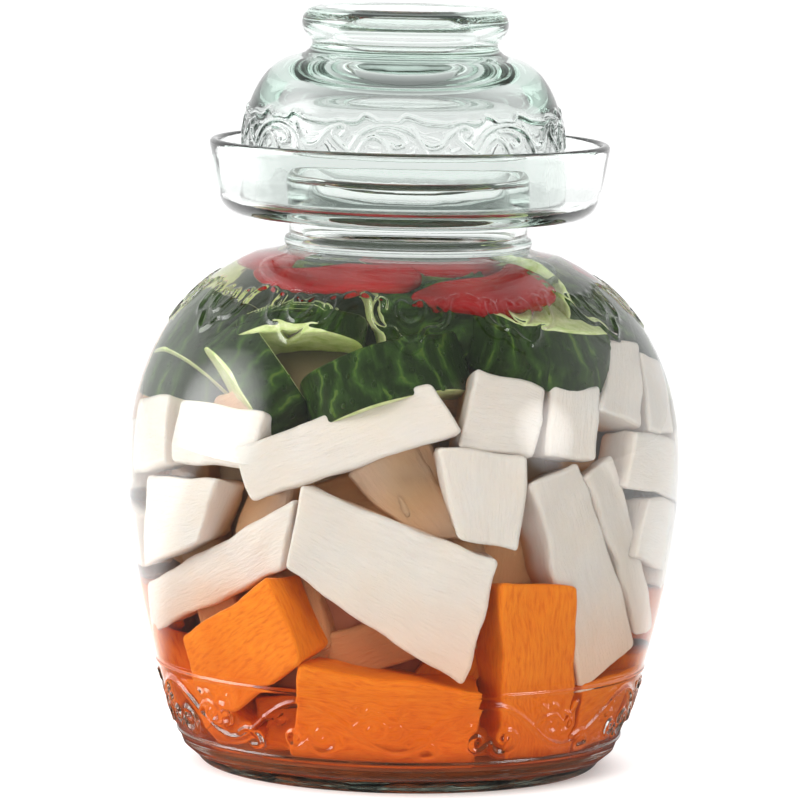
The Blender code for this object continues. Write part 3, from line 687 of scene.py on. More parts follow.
def layout():
    """Every piece of the heap: the front as listed, the back like it but turned and uneven."""
    draw = random.Random(11)
    batons, rounds = list(BATONS), list(ROUNDS)
    for row in BATONS:
        if abs(row[1]) < FRONT_REACH:
            moved = (row[0], 180 - row[1], row[2] + draw.uniform(-3, 3), row[3])
            turned_by = row[6] + draw.uniform(-BACK_JITTER, BACK_JITTER)
            sizes = tuple(size * draw.uniform(0.92, 1.04) for size in row[7:10])
            batons.append(moved + (row[4], row[5], 180 - turned_by) + sizes + row[10:])
    for row in ROUNDS:
        if abs(row[0]) < FRONT_REACH:
            moved = (180 - row[0], row[1] + draw.uniform(-3, 1), row[2], row[3], row[4])
            rounds.append(moved + (draw.uniform(-20, 20),) + row[6:])
    for kind, azimuth, height, distance, spin, length, width in INNER_BATONS:
        for side in (0, 180):
            place = (kind, azimuth + side, height, distance, draw.uniform(-12, 12), draw.uniform(-12, 4))
            sizes = (length, width, width * draw.uniform(0.8, 1.1))
            cuts = (draw.uniform(-14, 14), draw.uniform(-14, 14), INNER_THICKNESS)
            batons.append(place + (spin + side / 12,) + sizes + cuts)
    for column in SIDE_COLUMNS:
        for kind, height, distance, pitch, length, width in SIDE_ROWS:
            spin = draw.uniform(-14, 14)
            place = (kind, column + draw.uniform(-3, 3), height, distance, 0, pitch, spin)
            cuts = (draw.uniform(-9, 9), draw.uniform(-9, 9), SIDE_THICKNESS)
            batons.append(place + (length, width, width * draw.uniform(0.85, 1.1)) + cuts)
        rounds.append((column + 10, 121.0, 53.0, 0, 14, 80 + draw.uniform(-20, 20), 0, 20.0, 22))
    return batons, rounds, CHILLIES


def corners_of(row):
    """The eight corners of a cut piece, by end, edge and depth."""
    place, along, across, outward = face_frame(*row[1:7])
    length, start, end, slant_start, slant_end, thick = row[7:]
    corners = {}
    for deep, (inwards, share) in enumerate(((0, 1.0), (thick * MM, WEDGE))):
        ends = ((-0.5, start, slant_start), (0.5, end, slant_end))
        for far, (side, width, slant) in enumerate(ends):
            for over, edge in enumerate((-0.5, 0.5)):
                shift = side * length + edge * width * math.tan(math.radians(slant))
                spot = along * shift * MM * share + across * edge * width * MM * share
                corners[far, over, deep] = kept_inside(place + spot - outward * inwards)
    return corners


class Cuts:
    """Gathers many cut pieces into one mesh with a UV map."""

    def __init__(self):
        self.points, self.faces, self.uvs, self.slots = [], [], [], []

    def grid(self, rows, uvs, slot=0, closed=False):
        """Adds a grid of points, given as rows of equal length, with a material's number."""
        start, wide = len(self.points), len(rows[0])
        for row in rows:
            self.points += row
        for i in range(len(rows) - 1):
            for j in range(wide if closed else wide - 1):
                k = (j + 1) % wide
                face = (i * wide + j, i * wide + k, (i + 1) * wide + k, (i + 1) * wide + j)
                self.faces.append(tuple(start + n for n in face))
                self.uvs.append((uvs(i, j), uvs(i, j + 1), uvs(i + 1, j + 1), uvs(i + 1, j)))
                self.slots.append(slot)

    def made(self, name):
        """The gathered pieces as one object."""
        mesh = bpy.data.meshes.new(name)
        mesh.from_pydata(self.points, [], self.faces)
        layer = mesh.uv_layers.new(name="cut")
        layer.data.foreach_set("uv", [value for face in self.uvs for uv in face for value in uv])
        mesh.polygons.foreach_set("material_index", self.slots)
        faced_outward(mesh, 2 * POLE)
        return linked(name, mesh)


def baton(cuts, row, rounding, wobble, spot):
    """A hand-cut piece: six slightly uneven faces with rounded edges."""
    corners = corners_of(row)
    length, thick = row[7] * MM, row[12] * MM
    width = (row[8] + row[9]) / 2 * MM
    half = (length / 2, width / 2, thick / 2)
    offset = Vector((spot * 0.37 % 1, spot * 0.71 % 1, spot * 0.53 % 1)) * 4

    def steps(size):
        """Places across one side, closer together near the edges."""
        inner = max(2, round((size * 2 - 2 * rounding) / BATON_STEP))
        edge = [rounding * s for s in (0, 0.15, 0.45, 0.8)]
        body = [rounding + (size * 2 - 2 * rounding) * i / inner for i in range(inner + 1)]
        return [s - size for s in edge + body] + [size - s for s in edge[::-1]]

    def shaped(p):
        """A point of the box moved to the piece's own rounded, uneven surface."""
        core = Vector([max(-(h - rounding), min(h - rounding, c)) for c, h in zip(p, half)])
        away = p - core
        q = core + away.normalized() * rounding if away.length > 1e-9 else p
        u, v, w = ((c / h + 1) / 2 for c, h in zip(q, half))
        place = Vector((0, 0, 0))
        for (far, over, deep), corner in corners.items():
            share = (u if far else 1 - u) * (v if over else 1 - v) * (1 - w if deep else w)
            place += corner * share
        at = place / WOBBLE_SIZE + offset
        apart = (Vector((0, 0, 0)), Vector((9, 0, 0)), Vector((0, 7, 0)))
        shake = Vector([noise.noise(at + step) for step in apart])
        fine = noise.noise(place / FINE_SIZE + offset)
        return kept_inside(place + shake * wobble + away.normalized() * fine * wobble * FINE_SHARE)

    side_steps = [steps(h) for h in half]
    for axis in range(3):
        first, second = (axis + 1) % 3, (axis + 2) % 3
        for sign in (-1, 1):
            rows = []
            for a in side_steps[first]:
                line = []
                for b in side_steps[second]:
                    p = Vector((0, 0, 0))
                    p[axis], p[first], p[second] = sign * half[axis], a, b
                    line.append(shaped(p))
                rows.append(line)

            def mapped(i, j, axis=axis, first=first, second=second, sign=sign):
                """The place of a corner in the UV map, with its fibres along the piece."""
                p = [0, 0, 0]
                p[axis], p[first], p[second] = sign * half[axis], side_steps[first][i], side_steps[second][j]
                if axis == 0:
                    return (p[1] / UV_SIZE + spot * 1.7, p[2] / UV_SIZE + 40)
                return (p[0] / UV_SIZE + spot * 1.7, (p[1] + p[2]) / UV_SIZE + axis * 3 + sign)

            cuts.grid(rows, mapped)


def cucumber(cuts, row, spot, sides=96):
    """A round cut across a cucumber: ribbed skin, a pale rim and an uneven cut face."""
    place, along, across, outward = face_frame(*row[:6])
    lean, radius, length = math.radians(row[6]), row[7] * MM, row[8] * MM
    axis = along * math.cos(lean) + outward * math.sin(lean)
    side = outward * math.cos(lean) - along * math.sin(lean)
    draw = random.Random(round(spot * 100) + 5)
    phase = draw.uniform(0, 6)
    tilts = [(draw.uniform(-0.05, 0.05), draw.uniform(-0.05, 0.05)) for _ in range(2)]

    def ringed(share, reach, end, dent=0.0):
        """One ring of points, the share of the radius and the place along the axis."""
        ring = []
        for i in range(sides):
            a = 2 * math.pi * i / sides
            rib = 1 + RIB * math.cos(7 * a + phase) + RIB * math.cos(3 * a + phase * 2)
            rib += RIB_NOISE * noise.noise(Vector((math.cos(a) * 2, math.sin(a) * 2, reach * 60 + spot)))
            flat = side * math.cos(a) + across * math.sin(a)
            tilt = tilts[end][0] * math.cos(a) + tilts[end][1] * math.sin(a)
            along_by = reach + radius * share * tilt * (1 if dent or share < 1 else 0.999) + dent
            ring.append(kept_inside(place + axis * along_by + flat * radius * share * rib))
        return ring

    rim_share, rim_reach = 1 - RIM / radius * 0.5, length / 2 - RIM * 0.2
    skin = [ringed(rim_share, -rim_reach, 0)]
    for i in range(11):
        skin.append(ringed(1, -length / 2 + RIM + (length - 2 * RIM) * i / 10, 0 if i < 5 else 1))
    skin += [ringed(rim_share, rim_reach, 1)]
    around, high = 2 * math.pi * radius, length / 12

    def on_skin(i, j):
        """The place of a corner of the skin in the UV map."""
        return (j / sides * around / UV_SIZE + spot * 2.3, i * high / UV_SIZE)

    cuts.grid(skin, on_skin, 0, True)
    shares = (rim_share, *FACE_SHARES)
    for end, sign in ((0, -1), (1, 1)):
        face = [ringed(rim_share, sign * rim_reach, end)]
        for share in FACE_SHARES:
            sink = -sign * DENT * math.sin(math.pi * min(1, share * 1.2))
            face.append(ringed(share, sign * length / 2, end, sink + 1e-6))

        def on_face(i, j, sign=sign):
            """The place of a corner of a cut face in the UV map."""
            a = 2 * math.pi * j / sides
            r = shares[i] * radius / UV_SIZE
            return (r * math.cos(a) + sign * 20, r * math.sin(a) + 20)

        cuts.grid(face, on_face, 1, True)


def chilli(pods, stems, row, spot, steps=44, sides=20):
    """A glossy pod along an arc with a green stem and cap at its thick end."""
    path = []
    for i in range(steps + 1):
        t = i / steps
        around, height, reach = (row[j] + (row[j + 3] - row[j]) * t for j in range(3))
        reach += row[6] * math.sin(math.pi * t)
        radius = row[7] * math.sqrt(max(1 - t**2.6, 0.0)) * min(1, 0.62 + 5 * t)
        angle = math.radians(around)
        height += 0.8 * math.sin(7 * t + spot)
        path.append((Vector((math.sin(angle) * reach, -math.cos(angle) * reach, height)) * MM, radius * MM))

    def tube(home, line):
        """A closed tube through places and radii."""
        rows = []
        for k, (here, radius) in enumerate(line):
            ahead = line[min(k + 1, len(line) - 1)][0]
            behind = line[max(k - 1, 0)][0]
            way = (ahead - behind).normalized()
            across = way.cross(Vector((0, 0, 1))).normalized()
            above = across.cross(way)
            ring = []
            for i in range(sides):
                a = 2 * math.pi * i / sides
                swell = 1 + CREASE * math.cos(3 * a + 2.5 * k / len(line) + spot)
                swell += CREASE * 1.6 * noise.noise(Vector((math.cos(a), math.sin(a), k * 0.14 + spot)))
                spread = across * math.cos(a) + above * math.sin(a)
                ring.append(kept_inside(here + spread * max(radius, POLE) * swell))
            rows.append(ring)
        home.grid(rows, lambda i, j: (j / sides, i / steps + spot), closed=True)

    start, width = path[0]
    pod = [(start - (path[1][0] - start) * 0.02, 0.0)] + path[:-1] + [(path[-1][0], 0.0)]
    tube(pods, pod)
    back = (start - path[1][0]).normalized()
    up = Vector((0, 0, 1))
    cap = [(start + back * out, width * share) for out, share in CAP]
    for i in range(1, 8):
        place = start + back * (STEM_STEP + STEM_STEP * i) + up * STEM_RISE * i * i
        cap.append((place, STEM_RADIUS + STEM_GROWTH * i))
    end = cap[-1]
    tube(stems, [(cap[0][0], 0.0)] + cap + [(end[0] + back * STEM_END, 0.0)])


def bumps_tree():
    """Scatters small bumps over the faces that have the first material."""
    numbers = (("Spacing", "Float"), ("Density", "Float"), ("Bump", "Float"), ("Seed", "Int"))
    tree, given = geometry_tree("skin bumps", numbers)
    index = node(tree, "GeometryNodeInputMaterialIndex").outputs[0]
    skin = node(tree, "FunctionNodeCompare", {2: index}, data_type="INT", operation="EQUAL")
    where = {"Mesh": given["Geometry"], "Selection": skin.outputs[0], "Distance Min": given["Spacing"]}
    where.update({"Density Max": given["Density"], "Seed": given["Seed"]})
    scatter = node(tree, "GeometryNodeDistributePointsOnFaces", where, distribute_method="POISSON")
    bead = node(tree, "GeometryNodeMeshIcoSphere", {"Subdivisions": 2, "Radius": 1.0})
    limits = {0: (0.5, 0.5, 0.2), 1: (1.2, 1.2, 0.55), "Seed": given["Seed"]}
    sizes = node(tree, "FunctionNodeRandomValue", limits, data_type="FLOAT_VECTOR")
    values = {0: sizes.outputs[0], "Scale": given["Bump"]}
    scale = node(tree, "ShaderNodeVectorMath", values, operation="SCALE")
    put = node(tree, "GeometryNodeInstanceOnPoints", {
        "Points": scatter.outputs["Points"], "Instance": bead.outputs["Mesh"],
        "Rotation": scatter.outputs["Rotation"], "Scale": scale.outputs[0]})
    whole = node(tree, "GeometryNodeRealizeInstances", {0: put.outputs[0]})
    soft = node(tree, "GeometryNodeSetShadeSmooth", {"Geometry": whole.outputs[0]})
    coat = {"Geometry": soft.outputs[0], "Material": given["Material"]}
    paint = node(tree, "GeometryNodeSetMaterial", coat)
    node(tree, "NodeGroupOutput", {0: paint.outputs[0]})
    return tree


def new_material(name, values):
    """A material, its node tree and its Principled shader with some values set."""
    made = bpy.data.materials.new(name)
    made.use_nodes = True
    shader = made.node_tree.nodes["Principled BSDF"]
    for label, value in values.items():
        shader.inputs[label].default_value = value
    return made, made.node_tree, shader


def wet(roughness, shine=0.15):
    """The values of a surface that lies under brine, which takes most of its shine away."""
    return {"Roughness": roughness, "Specular IOR Level": shine}


def soft(weight, reach, scale):
    """The values of a surface that lets some light in: how much, and how far for each colour."""
    return {"Subsurface Weight": weight, "Subsurface Radius": reach, "Subsurface Scale": scale}


def scaled(colour, *shares):
    """A colour with its red, green and blue multiplied, no further than full."""
    return tuple(min(1.0, c * s) for c, s in zip(colour, shares if len(shares) > 1 else shares * 3))


def cut_map(tree):
    """The pieces' own UV map."""
    return node(tree, "ShaderNodeUVMap", uv_map="cut").outputs[0]


def place_in(tree):
    """Where a point is, in the object's metres."""
    return node(tree, "ShaderNodeTexCoord").outputs["Object"]


def parts_of(tree, vector):
    """A vector's X, Y and Z."""
    return node(tree, "ShaderNodeSeparateXYZ", {0: vector}).outputs


def ramp(tree, source, stops):
    """A colour ramp over a value, as (place, colour) stops."""
    made = node(tree, "ShaderNodeValToRGB", {"Fac": source})
    while len(made.color_ramp.elements) < len(stops):
        made.color_ramp.elements.new(0.5)
    for element, (place, colour) in zip(made.color_ramp.elements, stops):
        element.position = place
        element.color = (*colour, 1.0)
    return made.outputs["Color"]


def noise_of(tree, vector, scale, detail=3.0, rough=0.5, stretch=None):
    """A noise texture over a vector, stretched if asked."""
    if stretch:
        vector = node(tree, "ShaderNodeMapping", {"Vector": vector, "Scale": stretch}).outputs[0]
    values = {"Vector": vector, "Scale": scale, "Detail": detail, "Roughness": rough}
    return node(tree, "ShaderNodeTexNoise", values).outputs["Fac"]


def mixed(tree, factor, first, second, blend="MIX"):
    """Two colours mixed by a factor, each a socket or a plain colour or number."""
    values = {0: factor, 6: first, 7: second}
    for place, value in values.items():
        if isinstance(value, tuple):
            values[place] = (*value, 1.0)
    return node(tree, "ShaderNodeMix", values, data_type="RGBA", blend_type=blend).outputs[2]


def share_of(tree, value, start, end, low=0.0, high=1.0, curve="SMOOTHSTEP"):
    """How far a value is from a start to an end, as a number from low to high."""
    limits = {"Value": value, "From Min": start, "From Max": end, "To Min": low, "To Max": high}
    return node(tree, "ShaderNodeMapRange", limits, interpolation_type=curve).outputs[0]


def length_of(tree, vector):
    """The length of a vector."""
    return node(tree, "ShaderNodeVectorMath", {0: vector}, operation="LENGTH").outputs["Value"]


def seen_by(tree, kind):
    """Whether a ray of a kind looks at this, or how far along its path it does."""
    return node(tree, "ShaderNodeLightPath").outputs[kind]


def coloured(tree, shader, colour):
    """Joins a colour to a shader."""
    tree.links.new(colour, shader.inputs["Base Color"])


def bumped(tree, shader, height, strength, distance):
    """Joins a bump of a height field to a shader."""
    made = node(tree, "ShaderNodeBump", {"Height": height, "Strength": strength, "Distance": distance})
    tree.links.new(made.outputs[0], shader.inputs["Normal"])


def surfaced(tree, factor, first, second):
    """Gives the material's surface two shaders, mixed by a factor."""
    mix = node(tree, "ShaderNodeMixShader", {0: factor, 1: first.outputs[0], 2: second.outputs[0]})
    tree.links.new(mix.outputs[0], tree.nodes["Material Output"].inputs["Surface"])


def clear_material(name, tint, ior, depth_tint, density, ripple=0.0):
    """Glass or brine: it bends light, and lets the lamps' light through to what is inside."""
    made, tree, shader = new_material(name, {
        "Base Color": (*tint, 1.0), "Roughness": 0.0, "IOR": ior, "Transmission Weight": 1.0})
    through = node(tree, "ShaderNodeBsdfTransparent", {"Color": (*tint, 1.0)})
    lit = joined(tree, "MAXIMUM", seen_by(tree, "Is Shadow Ray"), seen_by(tree, "Is Diffuse Ray"))
    surfaced(tree, lit, shader, through)
    soak = node(tree, "ShaderNodeVolumeAbsorption", {"Color": (*depth_tint, 1.0), "Density": density})
    tree.links.new(soak.outputs[0], tree.nodes["Material Output"].inputs["Volume"])
    if ripple:
        bumped(tree, shader, noise_of(tree, place_in(tree), 90.0, 2.0, 0.5, (1, 1, 0.55)), ripple, 0.0012)
    return made


def daikon_material(colour):
    """Wet white radish: faint fibres along its length, soft light inside it, painted orange bounce light from
    the carrots low down and painted shade deeper in.
    """
    made, tree, shader = new_material("daikon", wet(0.40) | soft(0.30, (1.0, 0.75, 0.55), 0.004))
    uv, place = cut_map(tree), place_in(tree)
    fibres = noise_of(tree, uv, 7.0, 4.0, 0.6, (0.5, 5.0, 1))
    pale = ramp(tree, fibres, ((0.3, scaled(colour, 0.88)), (0.65, tuple(colour))))
    skin = mixed(tree, noise_of(tree, place, 55.0), pale, scaled(colour, 1.0, 0.90, 0.80))
    # Painted orange bounce light from the carrots, stronger lower in the jar
    low = share_of(tree, parts_of(tree, place)["Z"], *STAIN_HEIGHTS, 0.0, 0.60)
    stained = mixed(tree, low, skin, (0.88, 0.42, 0.22))
    # Painted shade: pieces that lie deeper in, away from the glass, are darker and browner
    flat = node(tree, "ShaderNodeVectorMath", {0: place, 1: (1, 1, 0)}, operation="MULTIPLY").outputs[0]
    behind = share_of(tree, length_of(tree, flat), *SHADE_DISTANCES)
    coloured(tree, shader, mixed(tree, behind, stained, (0.84, 0.52, 0.28), "MULTIPLY"))
    grain = joined(tree, "MULTIPLY", noise_of(tree, place, 420.0, 3.0, 0.6), 0.45)
    rough = joined(tree, "ADD", noise_of(tree, uv, 14.0, 5.0, 0.65, (0.6, 4.0, 1)), grain)
    bumped(tree, shader, rough, 0.9, 0.0007)
    return made


def carrot_material(colour):
    """Wet cut carrot: orange with lighter streaks and fine pits, with painted shade that darkens it towards
    the jar's foot.
    """
    made, tree, shader = new_material("carrot", wet(0.38) | soft(0.12, (1.0, 0.35, 0.1), 0.003))
    uv, place = cut_map(tree), place_in(tree)
    streaks = noise_of(tree, uv, 9.0, 6.0, 0.65, (0.8, 4.0, 1))
    deep, light = scaled(colour, 0.78, 0.52, 0.35), scaled(colour, 1.04, 1.28, 1.5)
    tones = ramp(tree, streaks, ((0.28, deep), (0.50, tuple(colour)), (0.74, light)))
    patches = share_of(tree, noise_of(tree, place, 38.0), 0.45, 0.85, 0.0, 0.5, "LINEAR")
    whole = mixed(tree, patches, tones, deep)
    height = parts_of(tree, place)["Z"]
    # Painted shade: darker towards the jar's foot, and darker still just above the floor
    low = share_of(tree, height, *CARROT_HEIGHTS, 0.0, 0.8)
    lower = mixed(tree, low, whole, (0.86, 0.52, 0.50), "MULTIPLY")
    lowest = share_of(tree, height, *CARROT_FOOT, 0.0, 0.9)
    coloured(tree, shader, mixed(tree, lowest, lower, (0.36, 0.20, 0.20), "MULTIPLY"))
    bumped(tree, shader, noise_of(tree, uv, 22.0, 6.0, 0.7, (0.9, 3.0, 1)), 0.55, 0.0006)
    return made


def skin_material(colour):
    """Cucumber skin: dark green with pale broken veins and flecks."""
    made, tree, shader = new_material("cucumber skin", wet(0.32, 0.25))
    uv = cut_map(tree)
    wave = node(tree, "ShaderNodeTexWave", {
        "Vector": uv, "Scale": 1.5, "Distortion": 11.0, "Detail": 3.5, "Detail Scale": 1.6})
    gaps = share_of(tree, noise_of(tree, uv, 4.5, 4.0, 0.65), 0.36, 0.58, 0.80, 1.0)
    veins = joined(tree, "MULTIPLY", wave.outputs["Fac"], gaps)
    bright = (0.085, 0.135, 0.020)
    stops = ((0.30, scaled(colour, 0.45)), (0.86, tuple(colour)))
    stops += ((0.945, scaled(colour, 1.7)), (0.997, bright))
    tones = ramp(tree, veins, stops)
    fine = noise_of(tree, uv, 13.0, 5.0, 0.7, (2.0, 0.6, 1))
    flecks = ramp(tree, fine, ((0.52, (0, 0, 0)), (0.78, (0.42, 0.42, 0.42))))
    coloured(tree, shader, mixed(tree, flecks, tones, (0.10, 0.18, 0.035)))
    bumped(tree, shader, noise_of(tree, place_in(tree), 260.0, 4.0), 0.4, 0.0006)
    return made


def flesh_material():
    """Cucumber flesh: pale green, clouded."""
    made, tree, shader = new_material("cucumber flesh", wet(0.35) | soft(0.3, (0.6, 1.0, 0.4), 0.003))
    uv = cut_map(tree)
    stops = ((0.32, (0.46, 0.54, 0.19)), (0.52, (0.64, 0.69, 0.33)), (0.7, (0.76, 0.78, 0.50)))
    coloured(tree, shader, ramp(tree, noise_of(tree, uv, 9.0, 5.0, 0.6), stops))
    bumped(tree, shader, noise_of(tree, uv, 30.0, 4.0), 0.3, 0.0004)
    return made


def chilli_material(colour):
    """Red chilli skin: glossy, in darker and lighter patches."""
    made, tree, shader = new_material("chilli", wet(0.2, 0.5))
    stops = ((0.35, scaled(colour, 0.5)), (0.55, tuple(colour)), (0.75, scaled(colour, 1.2, 2.0, 1.6)))
    coloured(tree, shader, ramp(tree, noise_of(tree, place_in(tree), 40.0), stops))
    return made


def stem_material():
    """Chilli stem and cap: dull green going brown."""
    made, tree, shader = new_material("chilli stem", {"Roughness": 0.5})
    stops = ((0.35, (0.05, 0.07, 0.02)), (0.65, (0.16, 0.20, 0.05)))
    coloured(tree, shader, ramp(tree, noise_of(tree, place_in(tree), 160.0), stops))
    return made


def core_material():
    """The shaded middle of the heap: orange-brown below, tan in the middle, dark green on top."""
    made, tree, shader = new_material("heap core", {"Roughness": 0.6})
    place = place_in(tree)
    share = share_of(tree, parts_of(tree, place)["Z"], 0.0, HEAP_TOP, curve="LINEAR")
    stops = ((0.12, (0.62, 0.14, 0.03)), (0.36, (0.60, 0.22, 0.12)), (0.52, (0.62, 0.40, 0.26)))
    stops += ((0.72, (0.62, 0.44, 0.28)), (0.84, (0.03, 0.05, 0.02)))
    patches = noise_of(tree, place, 60.0, 4.0)
    coloured(tree, shader, mixed(tree, patches, ramp(tree, share, stops), (0.55, 0.5, 0.45), "MULTIPLY"))
    bumped(tree, shader, noise_of(tree, place, 150.0, 4.0), 0.5, 0.001)
    return made


class JarGlassSettings(bpy.types.PropertyGroup):
    """The pressed glass of the jar and lid."""

    relief: FloatProperty(
        name="Relief", description="How far the scroll bands stand out", default=0.0007,
        min=0.0, max=0.002, subtype="DISTANCE", unit="LENGTH")
    half_width: FloatProperty(
        name="Half width", description="Half the width of a raised line of the scrolls", default=0.0015,
        min=0.0003, max=0.003, subtype="DISTANCE", unit="LENGTH")
    tint: FloatVectorProperty(
        name="Tint", description="Colour that each surface of the glass passes", default=(0.985, 0.995, 0.99),
        subtype="COLOR", size=3, min=0.0, max=1.0)
    depth_tint: FloatVectorProperty(
        name="Depth tint", description="Colour of thick glass", default=(0.74, 0.87, 0.81),
        subtype="COLOR", size=3, min=0.0, max=1.0)


class BrineSettings(bpy.types.PropertyGroup):
    """The clear brine round the vegetables."""

    level: FloatProperty(
        name="Level", description="Height of the brine's surface", default=0.1612,
        min=0.02, max=0.18, subtype="DISTANCE", unit="LENGTH")
    tint: FloatVectorProperty(
        name="Tint", description="Colour of the brine", default=(1.0, 0.995, 0.985),
        subtype="COLOR", size=3, min=0.0, max=1.0)


class VegetableSettings(bpy.types.PropertyGroup):
    """The cut vegetables."""

    rounding: FloatProperty(
        name="Rounding", description="Radius of a baton's edges", default=0.0017,
        min=0.0003, max=0.004, subtype="DISTANCE", unit="LENGTH")
    wobble: FloatProperty(
        name="Wobble", description="How uneven the hand-cut faces are", default=0.0012,
        min=0.0, max=0.003, subtype="DISTANCE", unit="LENGTH")
    bumps: IntProperty(
        name="Skin bumps", description="Bumps on a square metre of cucumber skin", default=45000,
        min=0, max=200000)
    daikon: FloatVectorProperty(
        name="Daikon", description="Colour of the daikon", default=(0.84, 0.775, 0.755),
        subtype="COLOR", size=3, min=0.0, max=1.0)
    carrot: FloatVectorProperty(
        name="Carrot", description="Colour of the carrot", default=(0.92, 0.225, 0.012),
        subtype="COLOR", size=3, min=0.0, max=1.0)
    skin: FloatVectorProperty(
        name="Cucumber skin", description="Colour of the cucumber's skin", default=(0.025, 0.055, 0.008),
        subtype="COLOR", size=3, min=0.0, max=1.0)
    chilli: FloatVectorProperty(
        name="Chilli", description="Colour of the chillies", default=(0.33, 0.004, 0.005),
        subtype="COLOR", size=3, min=0.0, max=1.0)


class StudioSettings(bpy.types.PropertyGroup):
    """The camera and the light."""

    distance: FloatProperty(
        name="Distance", description="From the camera to the jar's middle", default=1.929,
        min=0.5, max=10.0, subtype="DISTANCE", unit="LENGTH")
    elevation: FloatProperty(
        name="Elevation", description="How far the camera looks down", default=math.radians(6.4),
        min=0.0, max=1.5, subtype="ANGLE", unit="ROTATION")
    roll: FloatProperty(
        name="Roll", description="How far the camera is turned about its line of sight",
        default=math.radians(1.1), min=-0.2, max=0.2, subtype="ANGLE", unit="ROTATION")
    lens: FloatProperty(
        name="Lens", description="Focal length in mm for a 36 mm wide sensor", default=274.0,
        min=10.0, max=600.0)
    glow: FloatProperty(
        name="Glow", description="Brightness of the white surroundings", default=1.0, min=0.0, max=5.0)


def pressed(spot):
    """Moves a point of the jar's glass so that the base and the dish's inner wall are uneven."""
    reach = math.hypot(spot.x, spot.y)
    inside = spot.z > PUSH_UP and reach < cavity_radius(spot.z) + WALL / 2
    if spot.z < FLOOR + FLOOR_ROUNDING and (inside or reach < FOOT_RADIUS * FOOT_RING):
        shake = BASE_WAVES * noise.noise(spot / BASE_WAVE_SIZE)
        spot.z += shake if inside else abs(shake)
    limits = (DISH_BOTTOM, DISH_RIM_HEIGHT), (DISH_FOOT_RADIUS, DISH_RIM_RADIUS)
    middle = np.interp(spot.z, *limits) - DISH_WALL / 2
    room = min(spot.z - MOAT_FLOOR - MOAT_CORNER, DISH_RIM_HEIGHT - DISH_WALL - spot.z)
    if room > 0 and middle - DISH_WALL < reach < middle:
        wave = Vector((spot.x / DISH_WAVE_WIDTH, spot.y / DISH_WAVE_WIDTH, spot.z / DISH_WAVE_HEIGHT))
        swing = DISH_WAVES * min(1.0, room / DISH_WAVE_FADE) * (spot.x / reach) ** 2
        push = 1 - swing * (0.5 + noise.noise(wave)) / reach
        spot.x, spot.y = spot.x * push, spot.y * push


class PICKLEJAR_OT_jar(bpy.types.Operator):
    """Makes the jar with its dish and scroll bands"""

    bl_idname = "picklejar.jar"
    bl_label = "Jar"

    def execute(self, context):
        glass = context.scene.jar_glass
        jar = turned("jar_glass", jar_outline(), PLAIN_SIDES, BAND_SIDES)
        for vertex in jar.data.vertices:
            pressed(vertex.co)
        looks = (glass.tint, GLASS_IOR, glass.depth_tint, GLASS_DENSITY, JAR_RIPPLE)
        finish = clear_material("jar glass", *looks)
        tree = relief_tree()
        bands = (
            ("shoulder", SHOULDER_MIDDLE, SHOULDER_TIP, SHOULDER_REPEATS, SHOULDER_BAND, 1.0),
            ("foot", VINE_MIDDLE * MM, FOOT_CREST, FOOT_REPEATS, FOOT_BAND, FOOT_RELIEF),
        )
        for name, middle, azimuth, repeats, band, share in bands:
            lines = strokes(name, middle, azimuth, body_radius)
            split_near(jar, lines, repeats, band, body_radius)
            through_nodes(jar, tree, {
                "Strokes": lines, "Repeats": repeats, "Relief": glass.relief * share,
                "Half width": glass.half_width, "Shift": 0.0, "Material": finish})
            bpy.data.objects.remove(lines)
        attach(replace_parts(jar, "jar"), "root")
        return {"FINISHED"}


class PICKLEJAR_OT_lid(bpy.types.Operator):
    """Makes the domed lid with its scroll band"""

    bl_idname = "picklejar.lid"
    bl_label = "Lid"

    def execute(self, context):
        glass = context.scene.jar_glass
        outline = lid_outline()
        lid = turned("lid_glass", outline, LID_PLAIN_SIDES, LID_BAND_SIDES, LID_SHIFT)
        wall = np.array(outline[1][0] + outline[2][0][:1])

        def radius_at(z):
            """The dome's outer radius at a height."""
            return float(np.interp(z, wall[:, 1], wall[:, 0]))

        lines = strokes("lid", LID_MIDDLE, LID_ARCH, radius_at)
        split_near(lid, lines, LID_REPEATS, LID_BAND, radius_at, LID_SHIFT)
        looks = (glass.tint, GLASS_IOR, glass.depth_tint, GLASS_DENSITY, LID_RIPPLE)
        finish = clear_material("lid glass", *looks)
        through_nodes(lid, relief_tree(), {
            "Strokes": lines, "Repeats": LID_REPEATS, "Relief": glass.relief * LID_SCROLLS,
            "Half width": glass.half_width * LID_SCROLLS, "Shift": LID_SHIFT, "Material": finish})
        bpy.data.objects.remove(lines)
        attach(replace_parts(lid, "lid"), "root")
        return {"FINISHED"}


class PICKLEJAR_OT_brine(bpy.types.Operator):
    """Fills the jar with brine that reaches just into the glass"""

    bl_idname = "picklejar.brine"
    bl_label = "Brine"

    def execute(self, context):
        brine = context.scene.brine
        outline = brine_outline(brine.level)
        liquid = turned("brine", ((outline, False),), PLAIN_SIDES, PLAIN_SIDES)
        finish = clear_material("brine", brine.tint, BRINE_IOR, BRINE_DEPTH_TINT, BRINE_DENSITY)
        liquid.data.materials.append(finish)
        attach(liquid, "root")
        return {"FINISHED"}


def placed(piece, *materials):
    """Gives a piece of the heap its materials and its place in the frame."""
    for finish in materials:
        piece.data.materials.append(finish)
    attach(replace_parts(piece, "pickled_vegetables"), "root")


class PICKLEJAR_OT_batons(bpy.types.Operator):
    """Makes the daikon and carrot batons"""

    bl_idname = "picklejar.batons"
    bl_label = "Batons"

    def execute(self, context):
        look = context.scene.vegetables
        kinds = {"daikon": Cuts(), "carrot": Cuts()}
        for number, row in enumerate(layout()[0]):
            baton(kinds[row[0]], row, look.rounding, look.wobble, number + 1.0)
        placed(kinds["daikon"].made("daikon_batons"), daikon_material(look.daikon))
        placed(kinds["carrot"].made("carrot_batons"), carrot_material(look.carrot))
        return {"FINISHED"}


